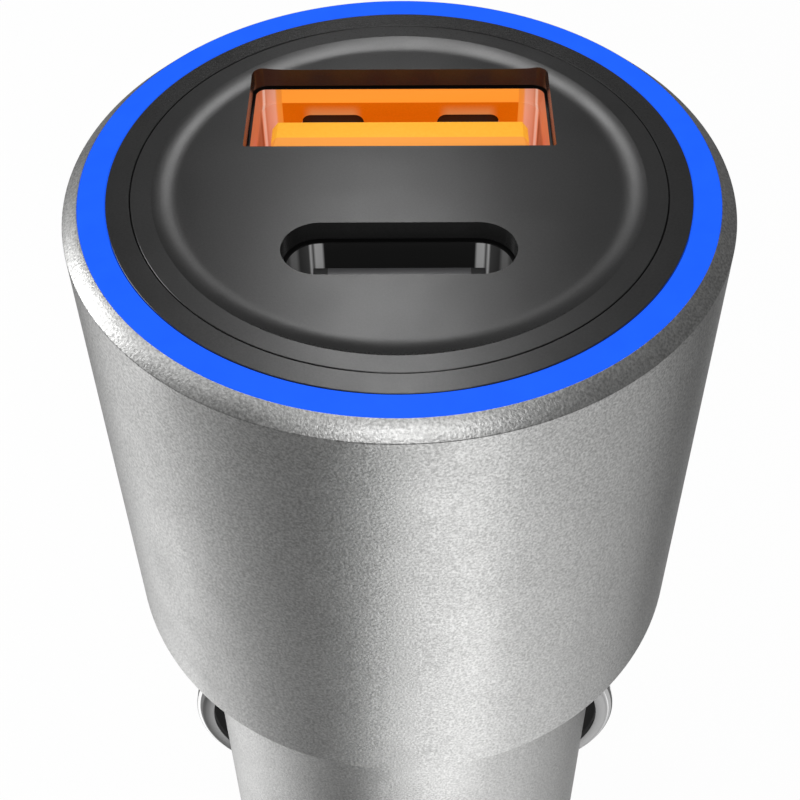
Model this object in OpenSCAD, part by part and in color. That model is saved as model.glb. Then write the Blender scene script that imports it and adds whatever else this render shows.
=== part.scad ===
// Car charger plug with two power outlets for a 12 V dashboard socket.
// Turned metal body, lit ring round a black face, sprung side wings and a sprung tip.
// The origin is on the axis, in the plane of the shoulder that stops against the socket's rim.
// +Z points out of the socket, -Y is the side of the small outlet.

/* [Body] */
// Diameter of the head
head_d = 26; // [25.4:0.1:28]
// Height of the head from the shoulder to the face
head_h = 22.9; // [21:0.1:27]
// Diameter of the barrel that fills the socket
barrel_d = 20.8; // [20.4:0.1:21.4]
// Length of the barrel below the shoulder
barrel_l = 30; // [29:0.5:36]
// Wall of the barrel
barrel_wall = 1; // [0.8:0.1:1.3]
// How much narrower the lower end of the barrel is, to lead it in
pilot_step = 0.2; // [0.1:0.05:0.4]
// Length of that narrower end
pilot_l = 4.5; // [3:0.1:6]
// Thickness of the shoulder
shoulder_t = 1.5; // [1:0.1:2.5]
// Width of the ledge that carries the outlet board
board_ledge_w = 0.8; // [0.5:0.1:1]
// Width of the bevelled rim round the ring
rim_w = 0.65; // [0.5:0.05:0.9]
// Height of the bevelled rim
rim_drop = 0.57; // [0.3:0.05:0.8]
// Broken outer edges
edge_break = 0.2; // [0.1:0.05:0.4]

/* [Light ring] */
// Width of the ring on the face
ring_w = 0.98; // [0.8:0.02:1.2]
// Height of its flange
ring_h = 1.5; // [1:0.1:2]
// Width of the ledge under the flange
ring_ledge = 0.35; // [0.25:0.05:0.5]
// Free height between the lamps and the foot of the ring
lamp_gap = 0.3; // [0.2:0.05:0.8]
// Number of lamps under the ring
lamp_count = 4; // [4:4:8]
// Length, width and height of one lamp
lamp_l = 1.6; // [1:0.1:2]
// Width of a lamp, measured across the ring
lamp_w = 0.55; // [0.4:0.05:0.6]
// Height of a lamp
lamp_h = 0.6; // [0.4:0.1:1]

/* [Face] */
// Seam between the pieces of the face
seam = 0.1; // [0.06:0.01:0.15]
// Width of the black trim ring
bezel_w = 0.82; // [0.7:0.02:1]
// Height of the trim ring
bezel_h = 2; // [1.6:0.1:2.6]
// Tiny bevel on the edges at the seams
seam_bevel = 0.08; // [0.04:0.01:0.1]
// Thickness of the face plate's flange under the trim ring
flange_t = 1.2; // [0.9:0.1:2]
// Flat margin between the seam and the dished middle
face_margin = 0.71; // [0.6:0.01:0.8]
// Width of the soft slope into the dish
dish_w = 0.76; // [0.5:0.02:1]
// Depth of the dish
dish_depth = 0.25; // [0.1:0.05:0.4]
// Thickness of the lip in front of the outlets
lip_t = 0.7; // [0.5:0.05:1]
// Gap between the lip and the outlets
lip_gap = 0.2; // [0.1:0.05:0.3]
// Radial thickness of the four legs that stand on the board
leg_t = 0.8; // [0.6:0.05:0.9]
// Angle that each leg takes up
leg_angle = 24; // [16:2:36]

/* [Wide outlet] */
// Height of the receptacle above its board
outlet_h = 12.75; // [12:0.05:14]
// Distance from the far wall inside the wide outlet to the edge of the face plate
wide_margin = 3.05; // [2.8:0.05:3.4]
// Width inside its shell
wide_w = 12.2; // [12.1:0.05:12.5]
// Height inside its shell
wide_h = 5.1; // [5:0.02:5.2]
// Margin of the face's cut-out round the inside of the shell
cut_margin = 0.13; // [0.08:0.01:0.2]
// Sheet of both shells
shell_t = 0.3; // [0.25:0.01:0.35]
// Width of the tongue
wide_tongue_w = 10.7; // [10.4:0.05:11.1]
// Thickness of the tongue
wide_tongue_t = 1.9; // [1.7:0.02:2]
// Gap between the tongue and the near wall of the shell
wide_tongue_gap = 0.85; // [0.66:0.01:0.9]
// Height of the block at the foot of the tongue
wide_foot_h = 1.6; // [1.2:0.1:3]
// Width of the chamfer on the near edge of the tongue's end
tongue_chamfer_w = 0.9; // [0.4:0.05:1.2]
// Depth of that chamfer
tongue_chamfer_h = 0.35; // [0.2:0.05:0.8]
// Width of a contact strip in the tongue
contact_w = 1; // [0.8:0.05:1.1]
// Thickness of a contact strip
contact_t = 0.25; // [0.15:0.01:0.3]
// Depth of the groove that a strip lies in
contact_groove = 0.2; // [0.1:0.01:0.25]
// Width of a spring finger in the shell
finger_w = 1.9; // [1.4:0.1:2.2]
// Width of the window round a finger
window_w = 2.7; // [2.6:0.1:2.9]
// Length of the window
window_l = 5.2; // [4.5:0.1:6]
// Depth of the window's upper edge below the mouth of the shell
window_drop = 1.45; // [1.2:0.05:2]
// How far a finger bows into the opening
finger_bow = 0.35; // [0.2:0.05:0.4]
// Distance between the two windows, centre to centre
window_pitch = 5.9; // [5.6:0.1:6.2]

/* [Small outlet] */
// Distance from the near wall inside the small outlet to the edge of the face plate
small_margin = 5.15; // [4.9:0.05:5.4]
// Width inside its shell
small_w = 8.5; // [8.34:0.02:8.6]
// Height inside its shell
small_h = 2.58; // [2.56:0.01:2.66]
// Width of its tongue
small_tongue_w = 5.4; // [5.2:0.1:6.7]
// Thickness of its tongue
small_tongue_t = 0.7; // [0.66:0.01:0.76]
// How far its tongue ends below the mouth
small_tongue_drop = 0.4; // [0.3:0.05:0.6]
// Height of the block at the foot of its tongue
small_foot_h = 6.2; // [5:0.1:7]
// Number of contact strips on each side of its tongue
strip_count = 8; // [6:1:12]
// Width of such a strip
strip_w = 0.25; // [0.15:0.01:0.3]
// Thickness of such a strip
strip_t = 0.06; // [0.04:0.01:0.1]
// Distance of the strips' ends below the end of the tongue
strip_drop = 0.5; // [0.3:0.05:1]
// Width of the shoulders beside its tongue
shoulder_w = 0.55; // [0.3:0.05:0.7]
// How far the shoulders lie below the end of the tongue
shoulder_drop = 0.5; // [0.3:0.05:1]

/* [Boards] */
// Thickness of the round outlet board
port_board_t = 1.6; // [1.2:0.1:1.6]
// Thickness of the upright board
main_board_t = 1.2; // [1:0.1:1.6]
// Distance of the upright board's edges from the bore
board_side_gap = 0.9; // [0.6:0.1:1.6]
// Width of the upright board between the wings
main_board_foot_w = 11.6; // [11:0.1:12]
// Width of each solder tab on top of the upright board
tab_w = 2.4; // [1.6:0.1:3]
// Distance between the solder tabs, centre to centre
tab_pitch = 10.4; // [9:0.1:12]

/* [Parts on the boards] */
// Distance between neighbouring parts
part_gap = 1; // [0.5:0.1:1.5]
// Width of the shielded choke
choke_w = 7; // [6:0.1:8]
// Height of the choke above the board
choke_t = 4; // [3:0.1:4.6]
// Clipped corners of the choke
choke_clip = 0.9; // [0.5:0.1:1.5]
// Diameter of a can capacitor
can_d = 6.3; // [5:0.1:6.5]
// Length of a can capacitor
can_l = 9; // [7:0.5:10]
// Depth of the bead round a can
can_neck = 0.25; // [0.1:0.05:0.4]
// Distance of the cans below the round board
can_drop = 2.4; // [1.5:0.1:4]
// Width of a control chip
controller_w = 4; // [3:0.1:5]
// Thickness of a control chip
controller_t = 1.4; // [0.8:0.1:1.6]
// Width of a chip capacitor
chip_w = 1.6; // [1.2:0.1:2]
// Thickness of a chip capacitor
chip_t = 1.5; // [0.8:0.1:1.6]
// Length of a power switch
switch_l = 6; // [5:0.1:6.5]
// Thickness of a power switch
switch_t = 1; // [0.8:0.1:1.4]
// Length of the fuse across the board
fuse_w = 6; // [5:0.1:6.5]
// Height of the fuse along the board
fuse_l = 2.6; // [2:0.1:3]
// Thickness of the fuse
fuse_t = 2.2; // [1.5:0.1:2.5]

/* [Side contacts] */
// How far the wings sit below the middle of the barrel
wing_offset = 0; // [-0.4:0.1:1]
// How far a wing stands out of the barrel
wing_out = 1.43; // [1.2:0.01:1.6]
// Length of the bow where it crosses the barrel's surface
wing_l = 8.5; // [8:0.1:9]
// Width of a wing
wing_w = 4; // [3.4:0.1:4.4]
// Strip that the wings are pressed from
wing_t = 0.4; // [0.3:0.02:0.45]
// Depth of the bent flanks of a wing
wing_flank = 1; // [0.8:0.05:1.2]
// Outer radius of the bend between crown and flank
wing_bend = 0.7; // [0.4:0.05:0.8]
// Length of the straight legs at both ends
wing_leg_l = 2.4; // [1.8:0.1:2.6]
// Travel of a wing into the barrel
wing_travel = 1.35; // [1:0.05:1.35]
// Clearance round a wing in its slot
slot_clear = 0.3; // [0.2:0.05:0.5]
// Gap between a wing's legs and the wall that they bear on
wing_seat = 0.12; // [0.05:0.01:0.2]

/* [Nose] */
// Length of the nose below the barrel
nose_l = 8.3; // [7.6:0.1:10]
// Diameter of the nose at the barrel
nose_d = 20.2; // [19.6:0.1:20.3]
// Diameter of the nose at its end
nose_end_d = 10.8; // [10.4:0.1:12]
// Straight part of the nose before it narrows
nose_collar = 1.2; // [0.8:0.1:2]
// Length of the spigot that goes up into the barrel
spigot_l = 4; // [3:0.1:5]
// Thickness of the rim that holds the tip in
nose_lip = 1.3; // [1:0.1:2]
// Diameter of the tip
tip_d = 7; // [6:0.1:7.4]
// How far the tip stands out of the nose
tip_out = 3.2; // [2.8:0.1:4]
// Travel of the tip into the nose
tip_travel = 2.2; // [1.5:0.1:2.4]
// Radius of the rounded end of the tip
tip_round = 4.5; // [4.2:0.1:8]
// Width of the flange round the tip
tip_flange_w = 1.1; // [0.8:0.1:1.2]
// Thickness of the flange
tip_flange_t = 1; // [0.8:0.1:1.4]
// Running clearance of the tip in its hole, on the radius
tip_clear = 0.07; // [0.05:0.01:0.1]
// Wire of the spring
spring_wire = 0.6; // [0.4:0.05:0.7]
// Mean diameter of the spring
spring_d = 6.6; // [5.6:0.1:7]
// Turns of the spring
spring_turns = 5; // [4:1:7]
// Diameter of the terminal plate
terminal_d = 12; // [11.4:0.1:13]
// Thickness of the terminal plate
terminal_t = 0.6; // [0.4:0.1:0.8]
// Width of the terminal's tag
tag_w = 3; // [2:0.1:4]
// Thickness of the tag
tag_t = 0.5; // [0.3:0.05:0.8]
// Length of the tag above the carrier's base
tag_l = 2; // [1:0.1:3]

/* [Hidden] */
$fn = 96;

// Clearance of a piece that drops into its seat
fit = 0.1;
// Clearance of a piece that is pressed into its seat
press = 0.05;
// Overshoot of a cut beyond the face that it opens
cut = 1;
// Wide clearance round the tip's flange, the carrier's top and the terminal's tag
loose = 0.3;

// Heights, from the face downwards
face_z = head_h;
dish_z = face_z - dish_depth;
outlet_z = dish_z - lip_t - lip_gap;
board_top = outlet_z - outlet_h;
board_bottom = board_top - port_board_t;
ring_seat_z = face_z - ring_h;
ring_foot_z = board_top + lamp_h + lamp_gap;
flange_top = face_z - bezel_h;
flange_bottom = flange_top - flange_t;

// Radii, from the rim inwards
head_r = head_d / 2;
ring_seat_r = head_r - rim_w;
ring_r = ring_seat_r - press;
head_bore_r = ring_seat_r - ring_ledge;
skirt_r = head_bore_r - fit;
ring_in_r = ring_r - ring_w;
bezel_r = ring_in_r - seam;
bezel_in_r = bezel_r - bezel_w;
plate_r = bezel_in_r - seam;
dish_r = plate_r - face_margin;
board_seat_r = head_bore_r - board_ledge_w;
// Centres of both outlets, the wide one towards +Y and the small one towards -Y
wide_y = plate_r - wide_margin - wide_h / 2;
small_y = plate_r - small_margin - small_h / 2;

// Barrel and wings
barrel_r = barrel_d / 2;
bore_r = barrel_r - barrel_wall;
pilot_r = barrel_r - pilot_step / 2;
wing_drop = barrel_l / 2 + wing_offset;
wing_r = (pow(wing_l / 2, 2) + pow(wing_out, 2)) / (2 * wing_out);
wing_cx = barrel_r + wing_out - wing_r;
// Inner face of the barrel wall beside the edge of a wing
wing_wall_x = sqrt(pow(bore_r, 2) - pow(wing_w / 2, 2));
leg_out_x = wing_wall_x - wing_seat;
leg_in_x = leg_out_x - wing_t;
// Height above the middle where the inside of the bow meets its leg
leg_start = sqrt(pow(wing_r - wing_t, 2) - pow(leg_in_x - wing_cx, 2));
slot_half = sqrt(pow(wing_r, 2) - pow(wing_wall_x - wing_cx, 2)) + slot_clear;
slot_w = wing_w + 2 * slot_clear;

// Nose and tip
nose_z = -barrel_l - nose_l;
spigot_r = bore_r - press;
nose_top = -barrel_l + spigot_l;
terminal_z = nose_top - terminal_t;
tip_r = tip_d / 2;
flange_r = tip_r + tip_flange_w;
spring_bore_r = flange_r + loose;
tip_flange_z = nose_z + nose_lip;
tip_end_z = nose_z - tip_out;
spring_low = tip_flange_z + tip_flange_t;

// Carrier of the wings and the foot of the upright board
carrier_base_t = 3;
carrier_r = bore_r - fit;
carrier_wall_out = leg_in_x - wing_travel - fit;
carrier_wall_in = main_board_foot_w / 2 + fit;
carrier_top = -wing_drop + leg_start + wing_leg_l + loose;
carrier_base_z = nose_top + carrier_base_t;
board_foot_z = nose_top + carrier_base_t / 2;
board_step_z = carrier_top + part_gap / 2;
board_y = main_board_t / 2;
main_board_w = 2 * (bore_r - board_side_gap);
carrier_wall_w = 10;
// Column of the board between the wings that is free for parts, above the fuse
column_low = carrier_base_z + fuse_l + 2 * part_gap;
column_h = carrier_top - column_low;
controller_row = column_h / 2;
chip_row = column_h / 3;
// Two power switches lie side by side between the walls of the carrier
switch_w = main_board_foot_w / 2 - part_gap;

// Wide outlet
wide_low_y = wide_y - wide_h / 2;
wide_tongue_y = wide_low_y + wide_tongue_gap;
wide_corner = 0.5;
// Share of an outline's margin that its corners grow by
corner_share = 0.6;
// Distance of the contact strips' ends below the end of the tongue
contact_drop = 0.7;
// Clearance of a contact strip in its groove
groove_fit = 0.01;
// Free gap above a spring finger in its window, and where along the finger it bows the most
finger_gap = 0.6;
bow_share = 0.7;
// Small outlet
small_tongue_z = outlet_z - small_tongue_drop;
strip_pitch = (small_tongue_w - 2 * strip_w) / (strip_count - 1);
strip_top = small_tongue_z - strip_drop;

// A rectangle with round corners, centred
module round_rect(w, h, r) {
    square([w - 2 * r, h], center = true);
    square([w, h - 2 * r], center = true);
    for (sx = [-1, 1], sy = [-1, 1])
        translate([sx * (w / 2 - r), sy * (h / 2 - r)]) circle(r, $fn = 32);
}

// Outline of the wide outlet's shell, grown by a margin
module wide_outline(grow) {
    corner = wide_corner + grow * corner_share;
    translate([0, wide_y]) round_rect(wide_w + 2 * grow, wide_h + 2 * grow, corner);
}

// Outline of the small outlet's shell with its full round ends, grown by a margin
module small_outline(grow) {
    r = small_h / 2 + grow;
    translate([0, -small_y]) {
        square([small_w - small_h, 2 * r], center = true);
        for (s = [-1, 1]) translate([s * (small_w - small_h) / 2, 0]) circle(r, $fn = 48);
    }
}

// A tube wall between two heights with an outline module's shape as its children
module raised(z0, z1) {
    translate([0, 0, z0]) linear_extrude(z1 - z0) children();
}

// A sector of a ring
module ring_sector(r_in, r_out, angle) {
    reach = 2 * r_out;
    intersection() {
        difference() {
            circle(r_out);
            circle(r_in);
        }
        polygon([[0, 0], [reach, -reach * tan(angle / 2)], [reach, reach * tan(angle / 2)]]);
    }
}

// One turned piece: head, shoulder and barrel, with a slot for each wing
module housing() {
    color("silver")
    difference() {
        rotate([0, 0, 90]) rotate_extrude() polygon([
            [bore_r, -barrel_l],
            [pilot_r - edge_break, -barrel_l],
            [pilot_r, -barrel_l + edge_break],
            [pilot_r, -barrel_l + pilot_l],
            [barrel_r, -barrel_l + pilot_l + pilot_step],
            [barrel_r, 0],
            [head_r - edge_break, 0],
            [head_r, edge_break],
            [head_r, face_z - rim_drop],
            [ring_seat_r, face_z],
            [ring_seat_r, ring_seat_z],
            [head_bore_r, ring_seat_z],
            [head_bore_r, board_bottom],
            [board_seat_r, board_bottom],
            [board_seat_r, shoulder_t],
            [bore_r, shoulder_t]
        ]);
        for (side = [0, 180]) rotate([0, 0, side])
            translate([wing_cx, -slot_w / 2, -wing_drop - slot_half]) cube([barrel_r, slot_w, 2 * slot_half]);
    }
}

// Translucent ring: a flange in the face and a skirt that brings the light up from the lamps
module light_ring() {
    color([0.13, 0.39, 1])
    rotate_extrude() polygon([
        [ring_in_r, ring_foot_z],
        [skirt_r, ring_foot_z],
        [skirt_r, ring_seat_z],
        [ring_r, ring_seat_z],
        [ring_r, face_z - seam_bevel],
        [ring_r - seam_bevel, face_z],
        [ring_in_r + seam_bevel, face_z],
        [ring_in_r, face_z - seam_bevel]
    ]);
}

// Black trim ring on the flange of the face plate
module bezel_ring() {
    color([0.16, 0.16, 0.16])
    rotate_extrude() polygon([
        [bezel_in_r, flange_top],
        [bezel_r, flange_top],
        [bezel_r, face_z - seam_bevel],
        [bezel_r - seam_bevel, face_z],
        [bezel_in_r + seam_bevel, face_z],
        [bezel_in_r, face_z - seam_bevel]
    ]);
}

// Height of the soft slope into the dish, from 0 at its outer edge to 1 at its inner edge
function dish_slope(t) = dish_z + dish_depth * (1 + cos(180 * t)) / 2;
slope_steps = 10;

// Dished face plate: flange, lip round both outlets, pockets behind them and four legs
module face_plate() {
    color([0.2, 0.2, 0.2]) {
        difference() {
            rotate_extrude() polygon(concat(
                [[0, flange_bottom], [bezel_r, flange_bottom], [bezel_r, flange_top],
                 [plate_r, flange_top], [plate_r, face_z - seam_bevel], [plate_r - seam_bevel, face_z]],
                [for (i = [0:slope_steps]) [dish_r - dish_w * i / slope_steps, dish_slope(i / slope_steps)]],
                [[0, dish_z]]
            ));
            raised(outlet_z, face_z + cut) wide_outline(cut_margin);
            raised(outlet_z, face_z + cut) small_outline(cut_margin);
            raised(flange_bottom - cut, outlet_z + lip_gap) wide_outline(shell_t + fit);
            raised(flange_bottom - cut, outlet_z + lip_gap) small_outline(shell_t + fit);
        }
        for (a = [45:90:315]) rotate([0, 0, a])
            raised(board_top, flange_bottom) ring_sector(bezel_r - leg_t, bezel_r, leg_angle);
    }
}

// One spring finger of the wide shell, hung from the lower end of its window
module shell_finger() {
    finger_z = outlet_z - window_drop - window_l;
    finger_l = window_l - finger_gap;
    bow_z = finger_z + finger_l * bow_share;
    y = wide_y + wide_h / 2;
    rotate([90, 0, 90]) linear_extrude(finger_w, center = true) polygon([
        [y, finger_z],
        [y + shell_t, finger_z],
        [y + shell_t - finger_bow, bow_z],
        [y + shell_t, finger_z + finger_l],
        [y, finger_z + finger_l],
        [y - finger_bow, bow_z]
    ]);
}

// Folded shell of the wide outlet, with two spring windows in its far wall
module wide_shell() {
    color("gainsboro") {
        difference() {
            raised(board_top, outlet_z) difference() {
                wide_outline(shell_t);
                wide_outline(0);
            }
            for (s = [-1, 1])
                translate([s * window_pitch / 2, wide_y + wide_h / 2, outlet_z - window_drop - window_l])
                    translate([-window_w / 2, -shell_t, 0]) cube([window_w, 3 * shell_t, window_l]);
        }
        for (s = [-1, 1]) translate([s * window_pitch / 2, 0, 0]) shell_finger();
    }
}

// Centres of the four contact strips of the wide outlet
contact_x = [-3.5, -1, 1, 3.5];
contact_y = wide_tongue_y + wide_tongue_t - contact_groove;
contact_l = outlet_h - wide_foot_h - contact_drop;

// Orange insulator of the wide outlet: a foot that fills the shell and the flat tongue
module wide_tongue() {
    tongue_top = outlet_z + press;
    color([1, 0.55, 0.1])
    difference() {
        union() {
            raised(board_top, board_top + wide_foot_h) wide_outline(-press);
            rotate([90, 0, 90]) linear_extrude(wide_tongue_w, center = true) polygon([
                [wide_tongue_y, board_top],
                [wide_tongue_y + wide_tongue_t, board_top],
                [wide_tongue_y + wide_tongue_t, tongue_top],
                [wide_tongue_y + tongue_chamfer_w, tongue_top],
                [wide_tongue_y, tongue_top - tongue_chamfer_h]
            ]);
        }
        for (x = contact_x)
            translate([x - contact_w / 2 - groove_fit, contact_y, board_top + wide_foot_h])
                cube([contact_w + 2 * groove_fit, cut, contact_l + 2 * groove_fit]);
    }
}

// Four gilt contact strips, let into the far side of the tongue
module wide_pins() {
    color("gold")
    for (x = contact_x)
        translate([x - contact_w / 2, contact_y, board_top + wide_foot_h])
            cube([contact_w, contact_t, contact_l]);
}

// Drawn shell of the small outlet
module small_shell() {
    color("gainsboro")
    raised(board_top, outlet_z) difference() {
        small_outline(shell_t);
        small_outline(0);
    }
}

// Insulator of the small outlet: a foot that fills the shell and the thin tongue
module small_tongue() {
    color([0.3, 0.3, 0.32]) {
        raised(board_top, board_top + small_foot_h) small_outline(-press);
        raised(board_top + small_foot_h, small_tongue_z)
            translate([0, -small_y]) square([small_tongue_w, small_tongue_t], center = true);
        raised(board_top + small_foot_h, small_tongue_z - shoulder_drop)
            translate([0, -small_y]) square([small_tongue_w + 2 * shoulder_w, small_tongue_t], center = true);
    }
}

// Contact strips on both sides of the thin tongue
module small_pins() {
    foot_z = board_top + small_foot_h;
    color("gold")
    for (i = [0:strip_count - 1], s = [-1, 1])
        translate([
            (i - (strip_count - 1) / 2) * strip_pitch,
            -small_y + s * (small_tongue_t + strip_t) / 2,
            (foot_z + strip_top) / 2
        ]) cube([strip_w, strip_t, strip_top - foot_z], center = true);
}

// Round board under both outlets, with a slot for each solder tab
module port_board() {
    color("darkgreen")
    raised(board_bottom, board_top) difference() {
        circle(head_bore_r - fit);
        for (s = [-1, 1]) translate([s * tab_pitch / 2, 0])
            square([tab_w + 2 * fit, main_board_t + 2 * fit], center = true);
    }
}

// Lamps on the rim of the round board, under the skirt of the light ring
module ring_lamps() {
    color("white")
    for (i = [0:lamp_count - 1]) rotate([0, 0, i * 360 / lamp_count])
        translate([skirt_r - fit - lamp_w, -lamp_l / 2, board_top]) cube([lamp_w, lamp_l, lamp_h]);
}

// Upright board: a foot between the wings, a wide head and two solder tabs
module main_board() {
    tab_out = 0.6;
    color("green")
    rotate([90, 0, 0]) linear_extrude(main_board_t, center = true) {
        translate([-main_board_foot_w / 2, board_foot_z])
            square([main_board_foot_w, board_bottom - board_foot_z]);
        translate([-main_board_w / 2, board_step_z]) square([main_board_w, board_bottom - board_step_z]);
        for (s = [-1, 1]) translate([s * tab_pitch / 2 - tab_w / 2, board_step_z])
            square([tab_w, board_top + tab_out - board_step_z]);
    }
}

// A block that stands on the front (side -1) or back (side 1) of the upright board
module on_board(side, x, z, w, h, t) {
    translate([x - w / 2, side > 0 ? board_y : -board_y - t, z - h / 2]) cube([w, t, h]);
}

// Shielded choke with clipped corners on the front of the upright board
module choke() {
    half = choke_w / 2;
    low = half - choke_clip;
    core_r = half * 0.74;
    core_gap = 0.3;
    color("dimgray")
    translate([0, -board_y, board_bottom - choke_w]) rotate([90, 0, 0]) difference() {
        linear_extrude(choke_t) polygon([
            [-low, -half], [low, -half], [half, -low], [half, low],
            [low, half], [-low, half], [-half, low], [-half, -low]
        ]);
        // Ring gap round the core
        translate([0, 0, choke_t - core_gap]) difference() {
            cylinder(h = cut, r = core_r + core_gap);
            translate([0, 0, -cut]) cylinder(h = 3 * cut, r = core_r);
        }
    }
}

// A can capacitor with its beaded neck, standing along the back of the upright board
module can_capacitor(side) {
    can_r = can_d / 2;
    neck_r = can_r - can_neck;
    bead = 0.3;
    bead_z = 4 * bead;
    color("slategray")
    translate([side * (can_r + can_neck), board_y + can_r + press, board_bottom - can_drop - can_l])
        rotate_extrude() polygon([
            [0, 0], [can_r, 0], [can_r, bead_z], [neck_r, bead_z + bead], [neck_r, bead_z + 2 * bead],
            [can_r, bead_z + 3 * bead], [can_r, can_l], [0, can_l]
        ]);
}

module input_capacitor() { can_capacitor(-1); }
module output_capacitor() { can_capacitor(1); }

// Chip capacitors in two columns on the front of the upright board
module chip_capacitors() {
    x = controller_w / 2 + part_gap + chip_w / 2;
    color("tan")
    for (s = [-1, 1], i = [0:2])
        on_board(-1, s * x, column_low + (i + 0.5) * chip_row, chip_w, chip_row - part_gap / 2, chip_t);
}

// Two control chips, one for each outlet, on the front of the upright board
module controllers() {
    color([0.12, 0.12, 0.12])
    for (i = [0:1])
        on_board(-1, 0, column_low + (i + 0.5) * controller_row,
            controller_w, controller_row - part_gap, controller_t);
}

// Two power switches on the back of the upright board
module power_switches() {
    color([0.15, 0.15, 0.15])
    for (s = [-1, 1])
        on_board(1, s * (switch_w + part_gap) / 2, carrier_top - part_gap - switch_l / 2,
            switch_w, switch_l, switch_t);
}

// Surface fuse at the foot of the upright board
module fuse() {
    color("ivory")
    on_board(-1, 0, carrier_base_z + part_gap + fuse_l / 2, fuse_w, fuse_l, fuse_t);
}

// Moulded carrier in the barrel: a base on the nose and two walls that back the wings
module contact_carrier() {
    color([0.1, 0.1, 0.1])
    difference() {
        union() {
            raised(nose_top, carrier_base_z) circle(carrier_r);
            for (s = [-1, 1])
                translate([s * (carrier_wall_in + carrier_wall_out) / 2, 0, (nose_top + carrier_top) / 2])
                    cube([carrier_wall_out - carrier_wall_in, carrier_wall_w, carrier_top - nose_top], center = true);
        }
        // Seat of the upright board and the way through for the terminal's tag
        translate([0, 0, board_foot_z + carrier_base_t / 2])
            cube([main_board_foot_w + 2 * fit, main_board_t + 2 * fit, carrier_base_t], center = true);
        translate([-tag_w / 2 - loose, board_y - fit, nose_top - cut])
            cube([tag_w + 2 * loose, tag_t + loose, carrier_base_t + 2 * cut]);
        // Notches for the legs of the wings
        for (s = [0, 180]) rotate([0, 0, s])
            translate([carrier_wall_out, -slot_w / 2, nose_top + fit]) cube([barrel_r, slot_w, carrier_base_t]);
    }
}

// Section of the bow: a crown with a rounded bend to a flank on each side
module wing_section() {
    side = wing_w / 2;
    flank_r = wing_r - wing_flank;
    inner_r = wing_r - wing_t;
    bend_r = wing_r - wing_bend;
    bend_y = side - wing_bend;
    polygon(concat(
        [[flank_r, -side]],
        [for (a = [0:15:90]) [bend_r + wing_bend * sin(a), -bend_y - wing_bend * cos(a)]],
        [for (a = [0:15:90]) [bend_r + wing_bend * cos(a), bend_y + wing_bend * sin(a)]],
        [[flank_r, side], [flank_r, side - wing_t], [inner_r, side - wing_t],
         [inner_r, wing_t - side], [flank_r, wing_t - side]]
    ));
}

// Bowed channel with a straight leg at each end, drawn for the side at +X
module wing() {
    intersection() {
        translate([wing_cx, 0, -wing_drop]) rotate([90, 0, 0]) rotate_extrude() wing_section();
        translate([leg_in_x, -wing_w, -wing_drop - wing_r]) cube(2 * wing_r);
    }
    for (s = [-1, 1]) translate([leg_in_x, -wing_w / 2, -wing_drop + s * (leg_start + wing_leg_l / 2)])
        translate([0, 0, -wing_leg_l / 2]) cube([wing_t, wing_w, wing_leg_l]);
}

module right_wing() { color("whitesmoke") wing(); }
module left_wing() { color("whitesmoke") rotate([0, 0, 180]) wing(); }

// Radius of the nose's curved flank, from 0 at the collar to 1 at its end
function nose_flank(t) = nose_end_d / 2 + (nose_d - nose_end_d) / 2 * cos(90 * t);
flank_steps = 10;
flank_z = -barrel_l - nose_collar;

// Black insulating nose, pressed into the barrel, with a bore for the tip and its spring
module nose() {
    color([0.08, 0.08, 0.08])
    rotate_extrude() polygon(concat(
        [[terminal_d / 2 + fit, nose_top], [spigot_r, nose_top], [spigot_r, -barrel_l],
         [nose_d / 2, -barrel_l]],
        [for (i = [0:flank_steps])
            [nose_flank(i / flank_steps), flank_z - (nose_l - nose_collar) * i / flank_steps]],
        [[tip_r + tip_clear, nose_z], [tip_r + tip_clear, tip_flange_z], [spring_bore_r, tip_flange_z],
         [spring_bore_r, terminal_z], [terminal_d / 2 + fit, terminal_z]]
    ));
}

// Brass plate that the spring bears on, with a tag up to the board
module tip_terminal() {
    color("goldenrod") {
        raised(terminal_z, nose_top) circle(terminal_d / 2);
        translate([-tag_w / 2, board_y, nose_top]) cube([tag_w, tag_t, carrier_base_t + tag_l]);
    }
}

// Tip: rounded end, guided shank, flange behind the nose's rim and a stem inside the spring
module tip_contact() {
    stem_r = spring_d / 2 - spring_wire / 2 - 2 * loose;
    stem_l = 3;
    color("whitesmoke")
    rotate_extrude() {
        intersection() {
            translate([0, tip_end_z]) square([tip_r, tip_flange_z - tip_end_z]);
            union() {
                translate([0, tip_end_z + tip_round]) circle(tip_round);
                translate([0, tip_end_z + tip_round]) square([tip_r, tip_flange_z - tip_end_z]);
            }
        }
        translate([0, tip_flange_z]) square([flange_r, tip_flange_t]);
        translate([0, spring_low]) square([stem_r, stem_l]);
    }
}

// A point on the rim of the wire's section at step i of the spring, and the spring's own path
spring_steps = 20;
wire_sides = 8;
spring_play = 0.02;
spring_rise = terminal_z - spring_low - spring_wire - 2 * spring_play;
ring_total = spring_turns * spring_steps;
// Height along the spring: the first and last turn lie flat
function spring_z(i) =
    let (t = min(1, max(0, (i - spring_steps) / (ring_total - 2 * spring_steps))))
    spring_low + spring_wire / 2 + spring_play
        + spring_wire * min(1, i / spring_steps)
        + (spring_rise - 2 * spring_wire) * t
        + spring_wire * max(0, (i - ring_total + spring_steps) / spring_steps);
function wire_point(i, k) =
    let (a = 360 * i / spring_steps, b = 360 * k / wire_sides, w = spring_wire / 2,
         r = spring_d / 2 + w * cos(b))
    [r * cos(a), r * sin(a), spring_z(i) + w * sin(b)];

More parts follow.
